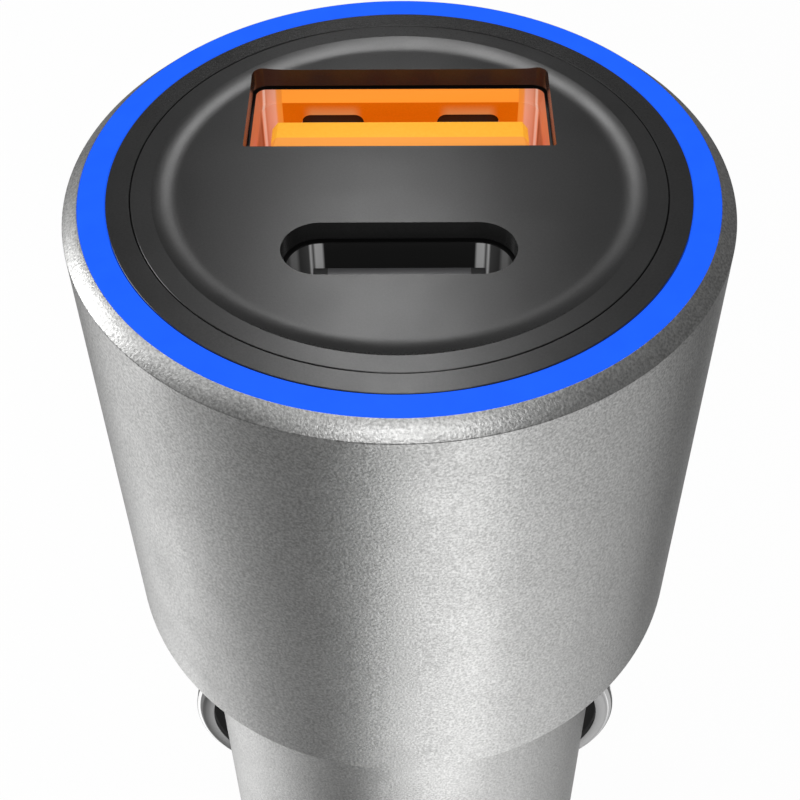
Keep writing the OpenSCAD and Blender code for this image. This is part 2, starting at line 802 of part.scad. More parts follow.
// Helical spring behind the tip, closed at both ends
module tip_spring() {
    points = [for (i = [0:ring_total], k = [0:wire_sides - 1]) wire_point(i, k)];
    sides = [for (i = [0:ring_total - 1], k = [0:wire_sides - 1]) let (n = (k + 1) % wire_sides)
        [i * wire_sides + k, i * wire_sides + n, (i + 1) * wire_sides + n, (i + 1) * wire_sides + k]];
    first = [for (k = [wire_sides - 1:-1:0]) k];
    last = [for (k = [0:wire_sides - 1]) ring_total * wire_sides + k];
    color("lightsteelblue")
    polyhedron(points, concat(sides, [first, last]));
}

housing();
light_ring();
bezel_ring();
face_plate();
wide_shell();
wide_tongue();
wide_pins();
small_shell();
small_tongue();
small_pins();
port_board();
ring_lamps();
main_board();
choke();
input_capacitor();
output_capacitor();
chip_capacitors();
controllers();
power_switches();
fuse();
contact_carrier();
left_wing();
right_wing();
nose();
tip_terminal();
tip_spring();
tip_contact();
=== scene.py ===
"""Car charger plug with a wide and a small power outlet: shapes, finishes, light and camera.

Sizes are in millimetres in the classes and in metres in the meshes. The origin is on the axis in
the plane of the shoulder, +Z points out of the dashboard socket, -Y is the side of the small outlet.
"""

import logging
import math
import sys
from dataclasses import dataclass
from enum import Enum

import bpy
from mathutils import Matrix, Vector


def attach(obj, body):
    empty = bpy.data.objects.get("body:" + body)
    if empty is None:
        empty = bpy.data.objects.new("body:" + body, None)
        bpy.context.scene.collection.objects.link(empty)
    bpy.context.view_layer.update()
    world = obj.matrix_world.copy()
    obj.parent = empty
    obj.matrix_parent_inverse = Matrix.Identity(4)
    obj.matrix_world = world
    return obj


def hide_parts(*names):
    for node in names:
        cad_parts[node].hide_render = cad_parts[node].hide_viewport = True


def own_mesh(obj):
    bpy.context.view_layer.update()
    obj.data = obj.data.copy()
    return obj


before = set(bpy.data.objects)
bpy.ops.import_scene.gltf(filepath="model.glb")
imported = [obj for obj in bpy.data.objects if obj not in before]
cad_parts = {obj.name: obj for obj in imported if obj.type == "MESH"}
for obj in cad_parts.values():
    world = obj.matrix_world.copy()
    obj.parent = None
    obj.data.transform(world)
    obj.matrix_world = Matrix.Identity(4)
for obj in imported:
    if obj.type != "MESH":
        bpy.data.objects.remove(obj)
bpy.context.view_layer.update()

MM = 0.001
FULL_TURN = 2 * math.pi
LOG = logging.getLogger("charger_plug")

Point = tuple[float, float]
Place = tuple[float, float, float]
Colour = tuple[float, float, float]
Piece = bpy.types.Object
Socket = bpy.types.NodeSocket

# Vertices nearer to each other than this are merged, in metres
MERGE = 1e-7
# Heights of the board under the outlets and of the outlets' mouths, in millimetres
BOARD_Z = 9.0
MOUTH_Z = 21.75


class Body(Enum):
    """The bodies that pieces ride on."""

    CHARGER = "charger"
    LEFT_CONTACT = "left_contact"
    RIGHT_CONTACT = "right_contact"
    TIP = "tip"


# Modelling by hand


def select_nothing() -> None:
    """Leaves edit mode and deselects every object."""
    if bpy.context.object and bpy.context.object.mode != "OBJECT":
        bpy.ops.object.mode_set(mode="OBJECT")
    bpy.ops.object.select_all(action="DESELECT")


def make_active(piece: Piece) -> None:
    """Selects one piece alone and makes it the active one."""
    select_nothing()
    piece.select_set(True)
    bpy.context.view_layer.objects.active = piece


def start_vertex(name: str, place: Place) -> Piece:
    """Starts a piece as one selected vertex, in edit mode.

    Args:
        name: the piece's name.
        place: the vertex, in millimetres.

    Returns:
        The new piece.
    """
    select_nothing()
    bpy.ops.mesh.primitive_plane_add(size=MM, location=Vector(place) * MM)
    piece = bpy.context.object
    piece.name = piece.data.name = name
    bpy.ops.object.transform_apply(location=True, rotation=True, scale=True)
    bpy.ops.object.mode_set(mode="EDIT")
    bpy.ops.mesh.select_mode(type="VERT")
    bpy.ops.mesh.select_all(action="SELECT")
    bpy.ops.mesh.merge(type="CENTER")
    return piece


def extrude_by(dx: float, dy: float, dz: float) -> None:
    """Extrudes what is selected by a step in millimetres."""
    bpy.ops.mesh.extrude_region_move(TRANSFORM_OT_translate={"value": (dx * MM, dy * MM, dz * MM)})


def close_mesh() -> None:
    """Merges doubles, turns the faces outwards and leaves edit mode."""
    bpy.ops.mesh.select_all(action="SELECT")
    bpy.ops.mesh.remove_doubles(threshold=MERGE)
    bpy.ops.mesh.normals_make_consistent(inside=False)
    bpy.ops.object.mode_set(mode="OBJECT")


def turned(name: str, outline: list[Point], closed: bool = True, steps: int = 192) -> Piece:
    """Turns an outline round the axis.

    Args:
        name: the piece's name.
        outline: radius and height of each corner, in millimetres.
        closed: True for a ring section, False where the outline starts and ends on the axis.
        steps: how many flats the circle is made of.

    Returns:
        The turned piece.
    """
    corners = outline + outline[:1] if closed else outline
    piece = start_vertex(name, (corners[0][0], 0, corners[0][1]))
    for (r0, z0), (r1, z1) in zip(corners, corners[1:]):
        extrude_by(r1 - r0, 0, z1 - z0)
    bpy.ops.mesh.select_all(action="SELECT")
    bpy.ops.mesh.spin(steps=steps, angle=FULL_TURN, center=(0, 0, 0), axis=(0, 0, 1))
    close_mesh()
    return piece


def outlined(name: str, corners: list[Place]) -> Piece:
    """Draws a closed outline of edges and leaves it selected in edit mode.

    Args:
        name: the piece's name.
        corners: the outline's corners, in millimetres.

    Returns:
        The outline as a new piece.
    """
    piece = start_vertex(name, corners[0])
    for a, b in zip(corners, corners[1:] + corners[:1]):
        extrude_by(b[0] - a[0], b[1] - a[1], b[2] - a[2])
    bpy.ops.mesh.select_all(action="SELECT")
    bpy.ops.mesh.remove_doubles(threshold=MERGE)
    return piece


def slice_off(piece: Piece, point: Place, normal: Place) -> None:
    """Cuts a piece along a plane and takes off what lies on the side that the normal points to."""
    make_active(piece)
    bpy.ops.object.mode_set(mode="EDIT")
    bpy.ops.mesh.select_all(action="SELECT")
    bpy.ops.mesh.bisect(
        plane_co=Vector(point) * MM, plane_no=normal, use_fill=True, clear_outer=True, threshold=MERGE
    )
    close_mesh()


@dataclass
class Prism:
    """An upright block with round corners, in millimetres."""

    x: float
    y: float
    w: float
    h: float
    corner: float
    low: float
    high: float
    segments: int = 10

    def build(self, name: str) -> Piece:
        """Builds the block from a plane: its corners are bevelled, then it is extruded."""
        select_nothing()
        bpy.ops.mesh.primitive_plane_add(size=1, location=(self.x * MM, self.y * MM, self.low * MM))
        piece = bpy.context.object
        piece.name = piece.data.name = name
        piece.scale = (self.w * MM, self.h * MM, 1)
        bpy.ops.object.transform_apply(location=True, rotation=True, scale=True)
        bpy.ops.object.mode_set(mode="EDIT")
        bpy.ops.mesh.select_all(action="SELECT")
        if self.corner > 0:
            bpy.ops.mesh.bevel(
                affect="VERTICES", offset=self.corner * MM, segments=self.segments, clamp_overlap=False
            )
            bpy.ops.mesh.select_all(action="SELECT")
            bpy.ops.mesh.remove_doubles(threshold=MERGE)
        extrude_by(0, 0, self.high - self.low)
        close_mesh()
        return piece

    def grown(self, margin: float, low: float, high: float) -> "Prism":
        """The same outline, wider by a margin all round, between two other heights."""
        w, h, corner = self.w + 2 * margin, self.h + 2 * margin, self.corner + margin
        return Prism(self.x, self.y, w, h, corner, low, high, self.segments)

    def flared(self, name: str, widen: float) -> Piece:
        """Builds the block and widens its upper end by a margin all round."""
        piece = self.build(name)
        make_active(piece)
        bpy.ops.object.mode_set(mode="EDIT")
        bpy.ops.mesh.select_mode(type="VERT")
        bpy.ops.mesh.select_all(action="DESELECT")
        bpy.ops.object.mode_set(mode="OBJECT")
        middle = (self.low + self.high) / 2 * MM
        for vertex in piece.data.vertices:
            vertex.select = vertex.co.z > middle
        bpy.ops.object.mode_set(mode="EDIT")
        bpy.ops.transform.resize(
            value=(1 + 2 * widen / self.w, 1 + 2 * widen / self.h, 1),
            center_override=(self.x * MM, self.y * MM, self.high * MM),
        )
        close_mesh()
        return piece


def apply_modifier(piece: Piece, kind: str, **settings: object) -> None:
    """Adds a modifier to a piece, sets it up and applies it."""
    make_active(piece)
    modifier = piece.modifiers.new(kind.title(), kind)
    for key, value in settings.items():
        setattr(modifier, key, value)
    bpy.ops.object.modifier_apply(modifier=modifier.name)


def cut(piece: Piece, cutter: Piece) -> None:
    """Cuts one piece with another, which is used up."""
    apply_modifier(piece, "BOOLEAN", operation="DIFFERENCE", solver="EXACT", object=cutter)
    bpy.data.objects.remove(cutter)


def unite(piece: Piece, other: Piece) -> None:
    """Merges another piece into one, which is used up."""
    apply_modifier(piece, "BOOLEAN", operation="UNION", solver="EXACT", object=other)
    bpy.data.objects.remove(other)


def joined(name: str, parts: list[Piece]) -> Piece:
    """Joins several meshes into one piece."""
    make_active(parts[0])
    for part in parts[1:]:
        part.select_set(True)
    bpy.ops.object.join()
    parts[0].name = parts[0].data.name = name
    return parts[0]


def break_edges(piece: Piece, width: float, segments: int = 2, angle: float = 30) -> None:
    """Bevels each edge of a piece that is sharper than an angle in degrees."""
    apply_modifier(
        piece, "BEVEL", width=width * MM, segments=segments, limit_method="ANGLE",
        angle_limit=math.radians(angle), harden_normals=False, use_clamp_overlap=True,
    )


def smooth(piece: Piece, angle: float = 35) -> None:
    """Shades a piece smooth, apart from edges sharper than an angle in degrees."""
    make_active(piece)
    bpy.ops.object.shade_smooth_by_angle(angle=math.radians(angle))


def keep_flats(piece: Piece) -> None:
    """Weights the shading by area, so that a large flat face stays flat up to its rounded edges."""
    apply_modifier(piece, "WEIGHTED_NORMAL", mode="FACE_AREA", weight=50, keep_sharp=True)


# Finishes


class Nodes:
    """Short forms for building one node tree."""

    def __init__(self, tree: bpy.types.NodeTree) -> None:
        """Keeps the tree."""
        self.tree = tree

    def add(self, kind: str, **settings: object) -> bpy.types.Node:
        """Adds a node; a setting named in_N sets the value of its input number N."""
        node = self.tree.nodes.new(kind)
        for key, value in settings.items():
            if key.startswith("in_"):
                node.inputs[int(key[3:])].default_value = value
            else:
                setattr(node, key, value)
        return node

    def link(self, source: Socket, target: Socket) -> None:
        """Joins two sockets."""
        self.tree.links.new(source, target)

    def in_mm(self) -> Socket:
        """The place on the object, in millimetres."""
        scaled = self.add("ShaderNodeVectorMath", operation="SCALE")
        scaled.inputs["Scale"].default_value = 1 / MM
        self.link(self.add("ShaderNodeTexCoord").outputs["Object"], scaled.inputs[0])
        return scaled.outputs[0]


def grain_group() -> bpy.types.NodeTree:
    """Builds the group for fine grain: a mask and a height, with the grain's size in 1/mm."""
    tree = bpy.data.node_groups.new("fine_grain", "ShaderNodeTree")
    tree.interface.new_socket("Size", in_out="INPUT", socket_type="NodeSocketFloat")
    tree.interface.new_socket("Contrast", in_out="INPUT", socket_type="NodeSocketFloat")
    tree.interface.new_socket("Mask", in_out="OUTPUT", socket_type="NodeSocketFloat")
    tree.interface.new_socket("Height", in_out="OUTPUT", socket_type="NodeSocketFloat")
    n = Nodes(tree)
    start, end = n.add("NodeGroupInput"), n.add("NodeGroupOutput")
    noise = n.add("ShaderNodeTexNoise", noise_dimensions="3D")
    noise.inputs["Detail"].default_value = 2.0
    noise.inputs["Roughness"].default_value = 0.55
    n.link(n.in_mm(), noise.inputs["Vector"])
    n.link(start.outputs["Size"], noise.inputs["Scale"])
    centred = n.add("ShaderNodeMath", operation="SUBTRACT", in_1=0.5)
    n.link(noise.outputs["Fac"], centred.inputs[0])
    spread = n.add("ShaderNodeMath", operation="MULTIPLY")
    n.link(centred.outputs[0], spread.inputs[0])
    n.link(start.outputs["Contrast"], spread.inputs[1])
    mask = n.add("ShaderNodeMath", operation="ADD", in_1=0.5, use_clamp=True)
    n.link(spread.outputs[0], mask.inputs[0])
    n.link(mask.outputs[0], end.inputs["Mask"])
    n.link(noise.outputs["Fac"], end.inputs["Height"])
    return tree


def patch_group() -> bpy.types.NodeTree:
    """Builds the group for broad uneven patches, with their size in 1/mm, as a mask."""
    tree = bpy.data.node_groups.new("broad_patches", "ShaderNodeTree")
    tree.interface.new_socket("Size", in_out="INPUT", socket_type="NodeSocketFloat")
    tree.interface.new_socket("Mask", in_out="OUTPUT", socket_type="NodeSocketFloat")
    n = Nodes(tree)
    start, end = n.add("NodeGroupInput"), n.add("NodeGroupOutput")
    noise = n.add("ShaderNodeTexNoise", noise_dimensions="3D")
    noise.inputs["Detail"].default_value = 4.0
    n.link(n.in_mm(), noise.inputs["Vector"])
    n.link(start.outputs["Size"], noise.inputs["Scale"])
    n.link(noise.outputs["Fac"], end.inputs["Mask"])
    return tree


GRAIN = grain_group()
PATCHES = patch_group()


@dataclass(frozen=True)
class Finish:
    """A finish: two tones mixed by fine grain, with uneven roughness and a fine relief."""

    name: str
    tone_a: Colour
    tone_b: Colour
    rough: Point
    metallic: float = 0.0
    grain: float = 12.0
    contrast: float = 2.0
    patch: float = 0.4
    patch_low: float = 0.25
    patch_high: float = 0.75
    relief: float = 0.0
    specular: float = 0.5
    # Emission in the base colour: lamp light on the lit ring, painted light on every other part
    glow: float = 0.0

    def material(self) -> bpy.types.Material:
        """Builds the node material.

        Returns:
            The material.
        """
        made = bpy.data.materials.new(self.name)
        made.use_nodes = True
        n = Nodes(made.node_tree)
        shader = made.node_tree.nodes["Principled BSDF"]
        grain = n.add("ShaderNodeGroup", node_tree=GRAIN)
        grain.inputs["Size"].default_value = self.grain
        grain.inputs["Contrast"].default_value = self.contrast
        patches = n.add("ShaderNodeGroup", node_tree=PATCHES)
        patches.inputs["Size"].default_value = self.patch
        tones = n.add("ShaderNodeMix", data_type="RGBA")
        tones.inputs[6].default_value = (*self.tone_a, 1)
        tones.inputs[7].default_value = (*self.tone_b, 1)
        n.link(grain.outputs["Mask"], tones.inputs[0])
        n.link(tones.outputs[2], shader.inputs["Base Color"])
        rough = n.add("ShaderNodeMapRange")
        rough.inputs["From Min"].default_value = self.patch_low
        rough.inputs["From Max"].default_value = self.patch_high
        rough.inputs["To Min"].default_value = self.rough[0]
        rough.inputs["To Max"].default_value = self.rough[1]
        n.link(patches.outputs["Mask"], rough.inputs["Value"])
        n.link(rough.outputs[0], shader.inputs["Roughness"])
        if self.relief > 0:
            bump = n.add("ShaderNodeBump")
            bump.inputs["Strength"].default_value = 1.0
            bump.inputs["Distance"].default_value = self.relief * MM
            n.link(grain.outputs["Height"], bump.inputs["Height"])
            n.link(bump.outputs[0], shader.inputs["Normal"])
        shader.inputs["Metallic"].default_value = self.metallic
        shader.inputs["Specular IOR Level"].default_value = self.specular
        if self.glow > 0:
            n.link(tones.outputs[2], shader.inputs["Emission Color"])
            shader.inputs["Emission Strength"].default_value = self.glow
        return made


class Ruler:
    """Masks that follow the place on an object, in millimetres."""

    blur: float = 0.02

    def __init__(self, n: Nodes) -> None:
        """Splits the object's coordinates."""
        self.n = n
        split = n.add("ShaderNodeSeparateXYZ")
        n.link(n.in_mm(), split.inputs[0])
        self.y, self.z = split.outputs[1], split.outputs[2]
        self.side, self.depth = self.away(split.outputs[0]), self.away(split.outputs[1])

    def away(self, source: Socket) -> Socket:
        """A value without its sign."""
        node = self.n.add("ShaderNodeMath", operation="ABSOLUTE")
        self.n.link(source, node.inputs[0])
        return node.outputs[0]

    def radius(self, side: float, z: float) -> Socket:
        """The distance from a line along Y, at a place beside the axis and at a height."""
        squares = []
        for source, middle in ((self.side, side), (self.z, z)):
            offset = self.n.add("ShaderNodeMath", operation="SUBTRACT", in_1=middle)
            self.n.link(source, offset.inputs[0])
            squares.append(self.both(offset.outputs[0], offset.outputs[0]))
        total = self.n.add("ShaderNodeMath", operation="ADD")
        self.n.link(squares[0], total.inputs[0])
        self.n.link(squares[1], total.inputs[1])
        root = self.n.add("ShaderNodeMath", operation="SQRT")
        self.n.link(total.outputs[0], root.inputs[0])
        return root.outputs[0]

    def step(self, source: Socket, start: float, end: float) -> Socket:
        """A mask that rises from 0 at one place to 1 at another."""
        node = self.n.add("ShaderNodeMapRange", interpolation_type="SMOOTHSTEP")
        node.inputs["From Min"].default_value = start
        node.inputs["From Max"].default_value = end
        self.n.link(source, node.inputs["Value"])
        return node.outputs[0]

    def past(self, source: Socket, place: float) -> Socket:
        """A mask of what lies past a place, with a narrow blur."""
        return self.step(source, place - self.blur, place + self.blur)

    def before(self, source: Socket, place: float) -> Socket:
        """A mask of what lies before a place, with a narrow blur."""
        return self.step(source, place + self.blur, place - self.blur)

    def both(self, a: Socket, b: Socket) -> Socket:
        """The product of two masks."""
        node = self.n.add("ShaderNodeMath", operation="MULTIPLY")
        self.n.link(a, node.inputs[0])
        self.n.link(b, node.inputs[1])
        return node.outputs[0]

    def tint(self, base: Socket, over: Colour | Socket, mask: Socket) -> Socket:
        """Lays a colour over another one through a mask.

        Args:
            base: the colour below.
            over: the colour above, plain or as a socket.
            mask: 1 where the colour above shows.

        Returns:
            The mixed colour's socket.
        """
        node = self.n.add("ShaderNodeMix", data_type="RGBA")
        self.n.link(base, node.inputs[6])
        if isinstance(over, tuple):
            node.inputs[7].default_value = (*over, 1)
        else:
            self.n.link(over, node.inputs[7])
        self.n.link(mask, node.inputs[0])
        return node.outputs[2]

    def ramp(self, source: Socket, reach: float, stops: tuple[tuple[float, Colour], ...]) -> Socket:
        """A colour that runs through several tones.

        Args:
            source: the place that the colour follows.
            reach: the place of the ramp's upper end, the lower one is 0.
            stops: places and their tones, in rising order.

        Returns:
            The colour's socket.
        """
        share = self.n.add("ShaderNodeMath", operation="DIVIDE", in_1=reach)
        self.n.link(source, share.inputs[0])
        ramp = self.n.add("ShaderNodeValToRGB")
        points = ramp.color_ramp.elements
        points[0].position, points[0].color = 0, (*stops[0][1], 1)
        points[1].position, points[1].color = 1, (*stops[-1][1], 1)
        for place, tone in stops:
            points.new(place / reach).color = (*tone, 1)
        self.n.link(share.outputs[0], ramp.inputs[0])
        return ramp.outputs[0]


def base_colour(made: bpy.types.Material) -> Socket:
    """The socket that feeds a material's base colour."""
    return made.node_tree.nodes["Principled BSDF"].inputs["Base Color"].links[0].from_socket


def repaint(made: bpy.types.Material, colour: Socket, glow: float) -> None:
    """Gives a material's shader another colour, also for its glow.

    Args:
        made: the material.
        colour: feeds the base colour and the glow.
        glow: the glow's strength.
    """
    shader = made.node_tree.nodes["Principled BSDF"]
    made.node_tree.links.new(colour, shader.inputs["Base Color"])
    made.node_tree.links.new(colour, shader.inputs["Emission Color"])
    shader.inputs["Emission Strength"].default_value = glow


@dataclass(frozen=True)
class ShellFinish(Finish):
    """Lacquer with painted light on the lead-in, above the springs and on the end walls, and painted shade.
    """

    # Painted highlight: the lead-in at the mouth is lighter than the lacquer
    lead_in: Colour = (0.9, 0.32, 0.035)
    # Painted highlight: a lighter patch on the far wall above each spring
    spot_highlight: Colour = (0.56, 0.24, 0.08)
    # Painted shade: the sheet's top edge is black
    rim_shade: Colour = (0.002, 0.002, 0.002)
    # Painted shade: the end walls darken towards the board
    shade: Colour = (0.24, 0.058, 0.022)
    lead_in_z: float = 21.13
    rim_z: float = 21.72
    rim_blend: float = 0.01
    shade_x: float = 5.93
    shade_high: float = 21.35
    shade_low: float = 20.4
    # Painted reflections: sheen bands across the end walls, by distance from the middle
    painted_sheens: tuple[tuple[float, Colour], ...] = (
        (5.12, (0.72, 0.25, 0.03)), (5.32, (0.7, 0.25, 0.05)), (5.4, (0.68, 0.33, 0.23)),
        (5.72, (0.58, 0.24, 0.15)), (5.8, (0.5, 0.17, 0.09)), (5.84, (0.7, 0.44, 0.35)),
        (5.9, (0.68, 0.42, 0.33)), (5.94, (0.5, 0.15, 0.065)), (6.1, (0.46, 0.14, 0.065)),
    )
    sheen_blend: float = 0.03
    spot_x: float = 2.95
    spot_half: float = 1.35
    spot_core: float = 0.6
    spot_low: float = 20.45
    spot_high: float = 21.1

    def material(self) -> bpy.types.Material:
        """Builds the node material.

        Returns:
            The material.
        """
        made = super().material()
        ruler = Ruler(Nodes(made.node_tree))
        colour, core = base_colour(made), self.spot_core * self.spot_half
        # Painted highlight: a lighter patch above each spring
        rising = ruler.step(ruler.side, self.spot_x - self.spot_half, self.spot_x - core)
        falling = ruler.step(ruler.side, self.spot_x + self.spot_half, self.spot_x + core)
        height = ruler.step(ruler.z, self.spot_high, self.spot_low)
        spot_highlight = ruler.both(ruler.both(rising, falling), height)
        colour = ruler.tint(colour, self.spot_highlight, spot_highlight)
        # Painted highlight on the lead-in at the mouth
        colour = ruler.tint(colour, self.lead_in, ruler.past(ruler.z, self.lead_in_z))
        # Painted reflections: sheen bands on the end walls
        start, reach = self.painted_sheens[0][0], self.painted_sheens[-1][0]
        ends = ruler.ramp(ruler.side, reach, self.painted_sheens)
        colour = ruler.tint(colour, ends, ruler.step(ruler.side, start - self.sheen_blend, start))
        beside = ruler.step(ruler.side, self.shade_x, self.shade_x + self.sheen_blend)
        shade = ruler.both(beside, ruler.step(ruler.z, self.shade_high, self.shade_low))
        colour = ruler.tint(colour, self.shade, shade)
        # Painted shade on the sheet's top edge
        colour = ruler.tint(colour, self.rim_shade, ruler.step(ruler.z, self.rim_z, self.rim_z + self.rim_blend))
        repaint(made, colour, self.glow)
        return made


@dataclass(frozen=True)
class TongueFinish(Finish):
    """Moulded orange with painted shade: a redder chamfer towards the front and a darker foot."""

    # Painted shade: the chamfer is redder and darker than the rest of the moulding
    chamfer: Colour = (0.9, 0.34, 0.06)
    chamfer_y: float = 3.88
    # Painted shade: the tongue darkens low down, deep in the outlet
    foot: Colour = (0.5, 0.12, 0.01)
    foot_z: float = 20.9
    foot_blend: float = 0.4

    def material(self) -> bpy.types.Material:
        """Builds the node material.

        Returns:
            The material.
        """
        made = super().material()
        ruler = Ruler(Nodes(made.node_tree))
        colour = base_colour(made)
        # Painted shade on the chamfer
        colour = ruler.tint(colour, self.chamfer, ruler.before(ruler.y, self.chamfer_y))
        # Painted shade towards the foot
        foot = ruler.step(ruler.z, self.foot_z, self.foot_z - self.foot_blend)
        colour = ruler.tint(colour, self.foot, foot)
        repaint(made, colour, self.glow)
        return made


@dataclass(frozen=True)
class BandedFinish(Finish):
    """Drawn steel with painted reflections as upright bands on its round ends, and painted shade."""

    reach: float = 5.0
    # Painted shade: the sheet's top edge is black
    rim_shade: Colour = (0.004, 0.004, 0.004)
    rim_z: float = 21.72
    rim_blend: float = 0.01
    # Painted reflections and shade: tone by distance from the middle, light stripes on the round ends, dark
    # flat walls
    bands: tuple[Point, ...] = (
        (2.88, 0.012), (2.97, 0.42), (3.22, 0.45), (3.3, 0.06), (3.4, 0.5), (3.47, 0.06), (3.8, 0.035),
        (3.92, 0.16), (4.08, 0.16), (4.18, 0.05),
    )

    def material(self) -> bpy.types.Material:
        """Builds the node material.

        Returns:
            The material.
        """
        made = super().material()
        ruler = Ruler(Nodes(made.node_tree))
        # Painted reflections as upright stripes, painted shade between them
        tones = ruler.ramp(ruler.side, self.reach, tuple((place, (t, t, t)) for place, t in self.bands))
        # Painted shade on the sheet's top edge
        tones = ruler.tint(tones, self.rim_shade, ruler.step(ruler.z, self.rim_z, self.rim_z + self.rim_blend))
        repaint(made, tones, self.glow)
        return made


@dataclass(frozen=True)
class ThinTongueFinish(Finish):
    """A dark tongue with a painted highlight towards the front and painted shade behind and on the
    shoulders.
    """

    # Painted shade behind and painted highlight towards the front; black painted shade on the shoulders
    far: Colour = (0.08, 0.08, 0.083)
    near_highlight: Colour = (0.31, 0.31, 0.315)
    shoulder: Colour = (0.003, 0.003, 0.003)
    shoulder_x: float = 2.69
    far_y: float = -3.5
    near_y: float = -4.1

    def material(self) -> bpy.types.Material:
        """Builds the node material.

        Returns:
            The material.
        """
        made = super().material()
        ruler = Ruler(Nodes(made.node_tree))
        colour = base_colour(made)
        # Painted highlight towards the front
        colour = ruler.tint(colour, self.near_highlight, ruler.step(ruler.y, self.far_y, self.near_y))
        # Painted shade further back
        colour = ruler.tint(colour, self.far, ruler.step(ruler.y, self.near_y, self.far_y))
        # Painted shade: the shoulders are black
        shoulders = ruler.step(ruler.side, self.shoulder_x, self.shoulder_x + ruler.blur)
        colour = ruler.tint(colour, self.shoulder, shoulders)
        repaint(made, colour, self.glow)
        return made


@dataclass(frozen=True)
class WingFinish(Finish):
    """Bright round the bends; rougher on the flanks and inside the bow, and darker there by painted shade.
    """

    # Painted shade: the flanks and the inside of the bow are darker; they are also rougher
    flank: Colour = (0.36, 0.36, 0.36)
    flank_y: float = 1.93
    hollow_shade: Colour = (0.4, 0.4, 0.4)
    dull_rough: float = 0.45
    bow_x: float = 4.8
    bow_z: float = -15.0
    hollow_r: float = 6.75
    hollow_y: float = 1.68

    def material(self) -> bpy.types.Material:
        """Builds the node material.

        Returns:
            The material.
        """
        made = super().material()
        n = Nodes(made.node_tree)
        ruler = Ruler(n)
        shader = made.node_tree.nodes["Principled BSDF"]
        # Painted shade inside the bow
        inside = ruler.before(ruler.radius(self.bow_x, self.bow_z), self.hollow_r)
        between = ruler.before(ruler.depth, self.hollow_y)
        mask = ruler.both(inside, between)
        colour = ruler.tint(shader.inputs["Base Color"].links[0].from_socket, self.hollow_shade, mask)
        # Painted shade on the flanks
        flank = ruler.step(ruler.depth, self.flank_y, self.flank_y + 0.05)
        colour = ruler.tint(colour, self.flank, flank)
        repaint(made, colour, self.glow)
        dull = n.add("ShaderNodeMath", operation="MAXIMUM")
        n.link(mask, dull.inputs[0])
        n.link(flank, dull.inputs[1])
        rough = n.add("ShaderNodeMix", data_type="FLOAT", in_3=self.dull_rough)
        n.link(dull.outputs[0], rough.inputs[0])
        n.link(shader.inputs["Roughness"].links[0].from_socket, rough.inputs[2])
        n.link(rough.outputs[0], shader.inputs["Roughness"])
        return made


BLASTED_METAL = Finish(
    "blasted aluminium", (0.45, 0.45, 0.445), (0.79, 0.79, 0.78), (0.36, 0.44), metallic=1.0,
    grain=10.0, contrast=2.8, relief=0.012,
)
LIT_BLUE = Finish(
    "lit blue ring", (0.0055, 0.048, 0.40), (0.0062, 0.052, 0.42), (0.3, 0.4), grain=0.8,
    specular=0.02, glow=2.0,
)
BLACK_TRIM = Finish("black trim", (0.022, 0.022, 0.022), (0.03, 0.03, 0.03), (0.22, 0.27), relief=0.002)
BLACK_FACE = Finish("black face", (0.026, 0.026, 0.026), (0.032, 0.032, 0.032), (0.22, 0.27), relief=0.002)
# Its glow is painted light; the lacquered sheet is no lamp
ORANGE_SHELL = ShellFinish(
    "orange lacquered sheet", (0.55, 0.116, 0.0005), (0.59, 0.126, 0.001), (0.3, 0.4),
    specular=0.3, glow=0.62,
)
# Its glow is painted light; the insulator is no lamp
ORANGE_TONGUE = TongueFinish(
    "orange insulator", (0.96, 0.43, 0.03), (0.98, 0.46, 0.04), (0.4, 0.5), grain=6.0, relief=0.001,
    specular=0.15, glow=0.5,
)
# Its glow is painted light; the steel is no lamp
BANDED_STEEL = BandedFinish(
    "drawn steel", (0.6, 0.6, 0.6), (0.66, 0.66, 0.65), (0.3, 0.4), metallic=0.3, glow=0.35,
)
DARK_INSULATOR = ThinTongueFinish(
    "dark insulator", (0.14, 0.14, 0.145), (0.17, 0.17, 0.175), (0.4, 0.5), relief=0.002,
)
GILT = Finish("gilt contact", (0.8, 0.56, 0.22), (0.86, 0.64, 0.28), (0.2, 0.3), metallic=1.0)
# Painted shade: gilt pins darkened for the shade deep in the small outlet
SHADED_GILT = Finish("gilt contact in painted shade", (0.05, 0.045, 0.035), (0.08, 0.07, 0.05), (0.4, 0.5), metallic=0.6)
# Its faint glow is painted light; the spring is no lamp
BRIGHT_SPRING = WingFinish(
    "bright spring", (0.72, 0.72, 0.72), (0.78, 0.78, 0.78), (0.06, 0.1), metallic=1.0, glow=0.03,
)
BLACK_MOULDING = Finish(
    "black moulding", (0.045, 0.045, 0.045), (0.055, 0.055, 0.055), (0.35, 0.45), relief=0.003,
)
BLACK_NOSE = Finish("black nose", (0.016, 0.016, 0.016), (0.022, 0.022, 0.022), (0.38, 0.46), relief=0.004)
BOARD_GREEN = Finish(
    "board green", (0.01, 0.1, 0.035), (0.02, 0.15, 0.055), (0.3, 0.4), grain=2.5, relief=0.003,
)
LAMP_BODY = Finish("lamp body", (0.75, 0.74, 0.68), (0.85, 0.84, 0.78), (0.3, 0.4))
FERRITE = Finish("ferrite", (0.05, 0.05, 0.055), (0.085, 0.085, 0.09), (0.5, 0.65), grain=7.0, relief=0.006)
CAN = Finish("drawn can", (0.42, 0.44, 0.47), (0.52, 0.54, 0.57), (0.22, 0.32), metallic=1.0)
CHIP_CERAMIC = Finish("chip ceramic", (0.36, 0.25, 0.14), (0.46, 0.34, 0.2), (0.4, 0.5), grain=5.0)
CHIP_BLACK = Finish("chip black", (0.015, 0.015, 0.015), (0.03, 0.03, 0.03), (0.5, 0.6), relief=0.004)
FUSE_BODY = Finish("fuse body", (0.74, 0.71, 0.62), (0.82, 0.8, 0.72), (0.25, 0.35))
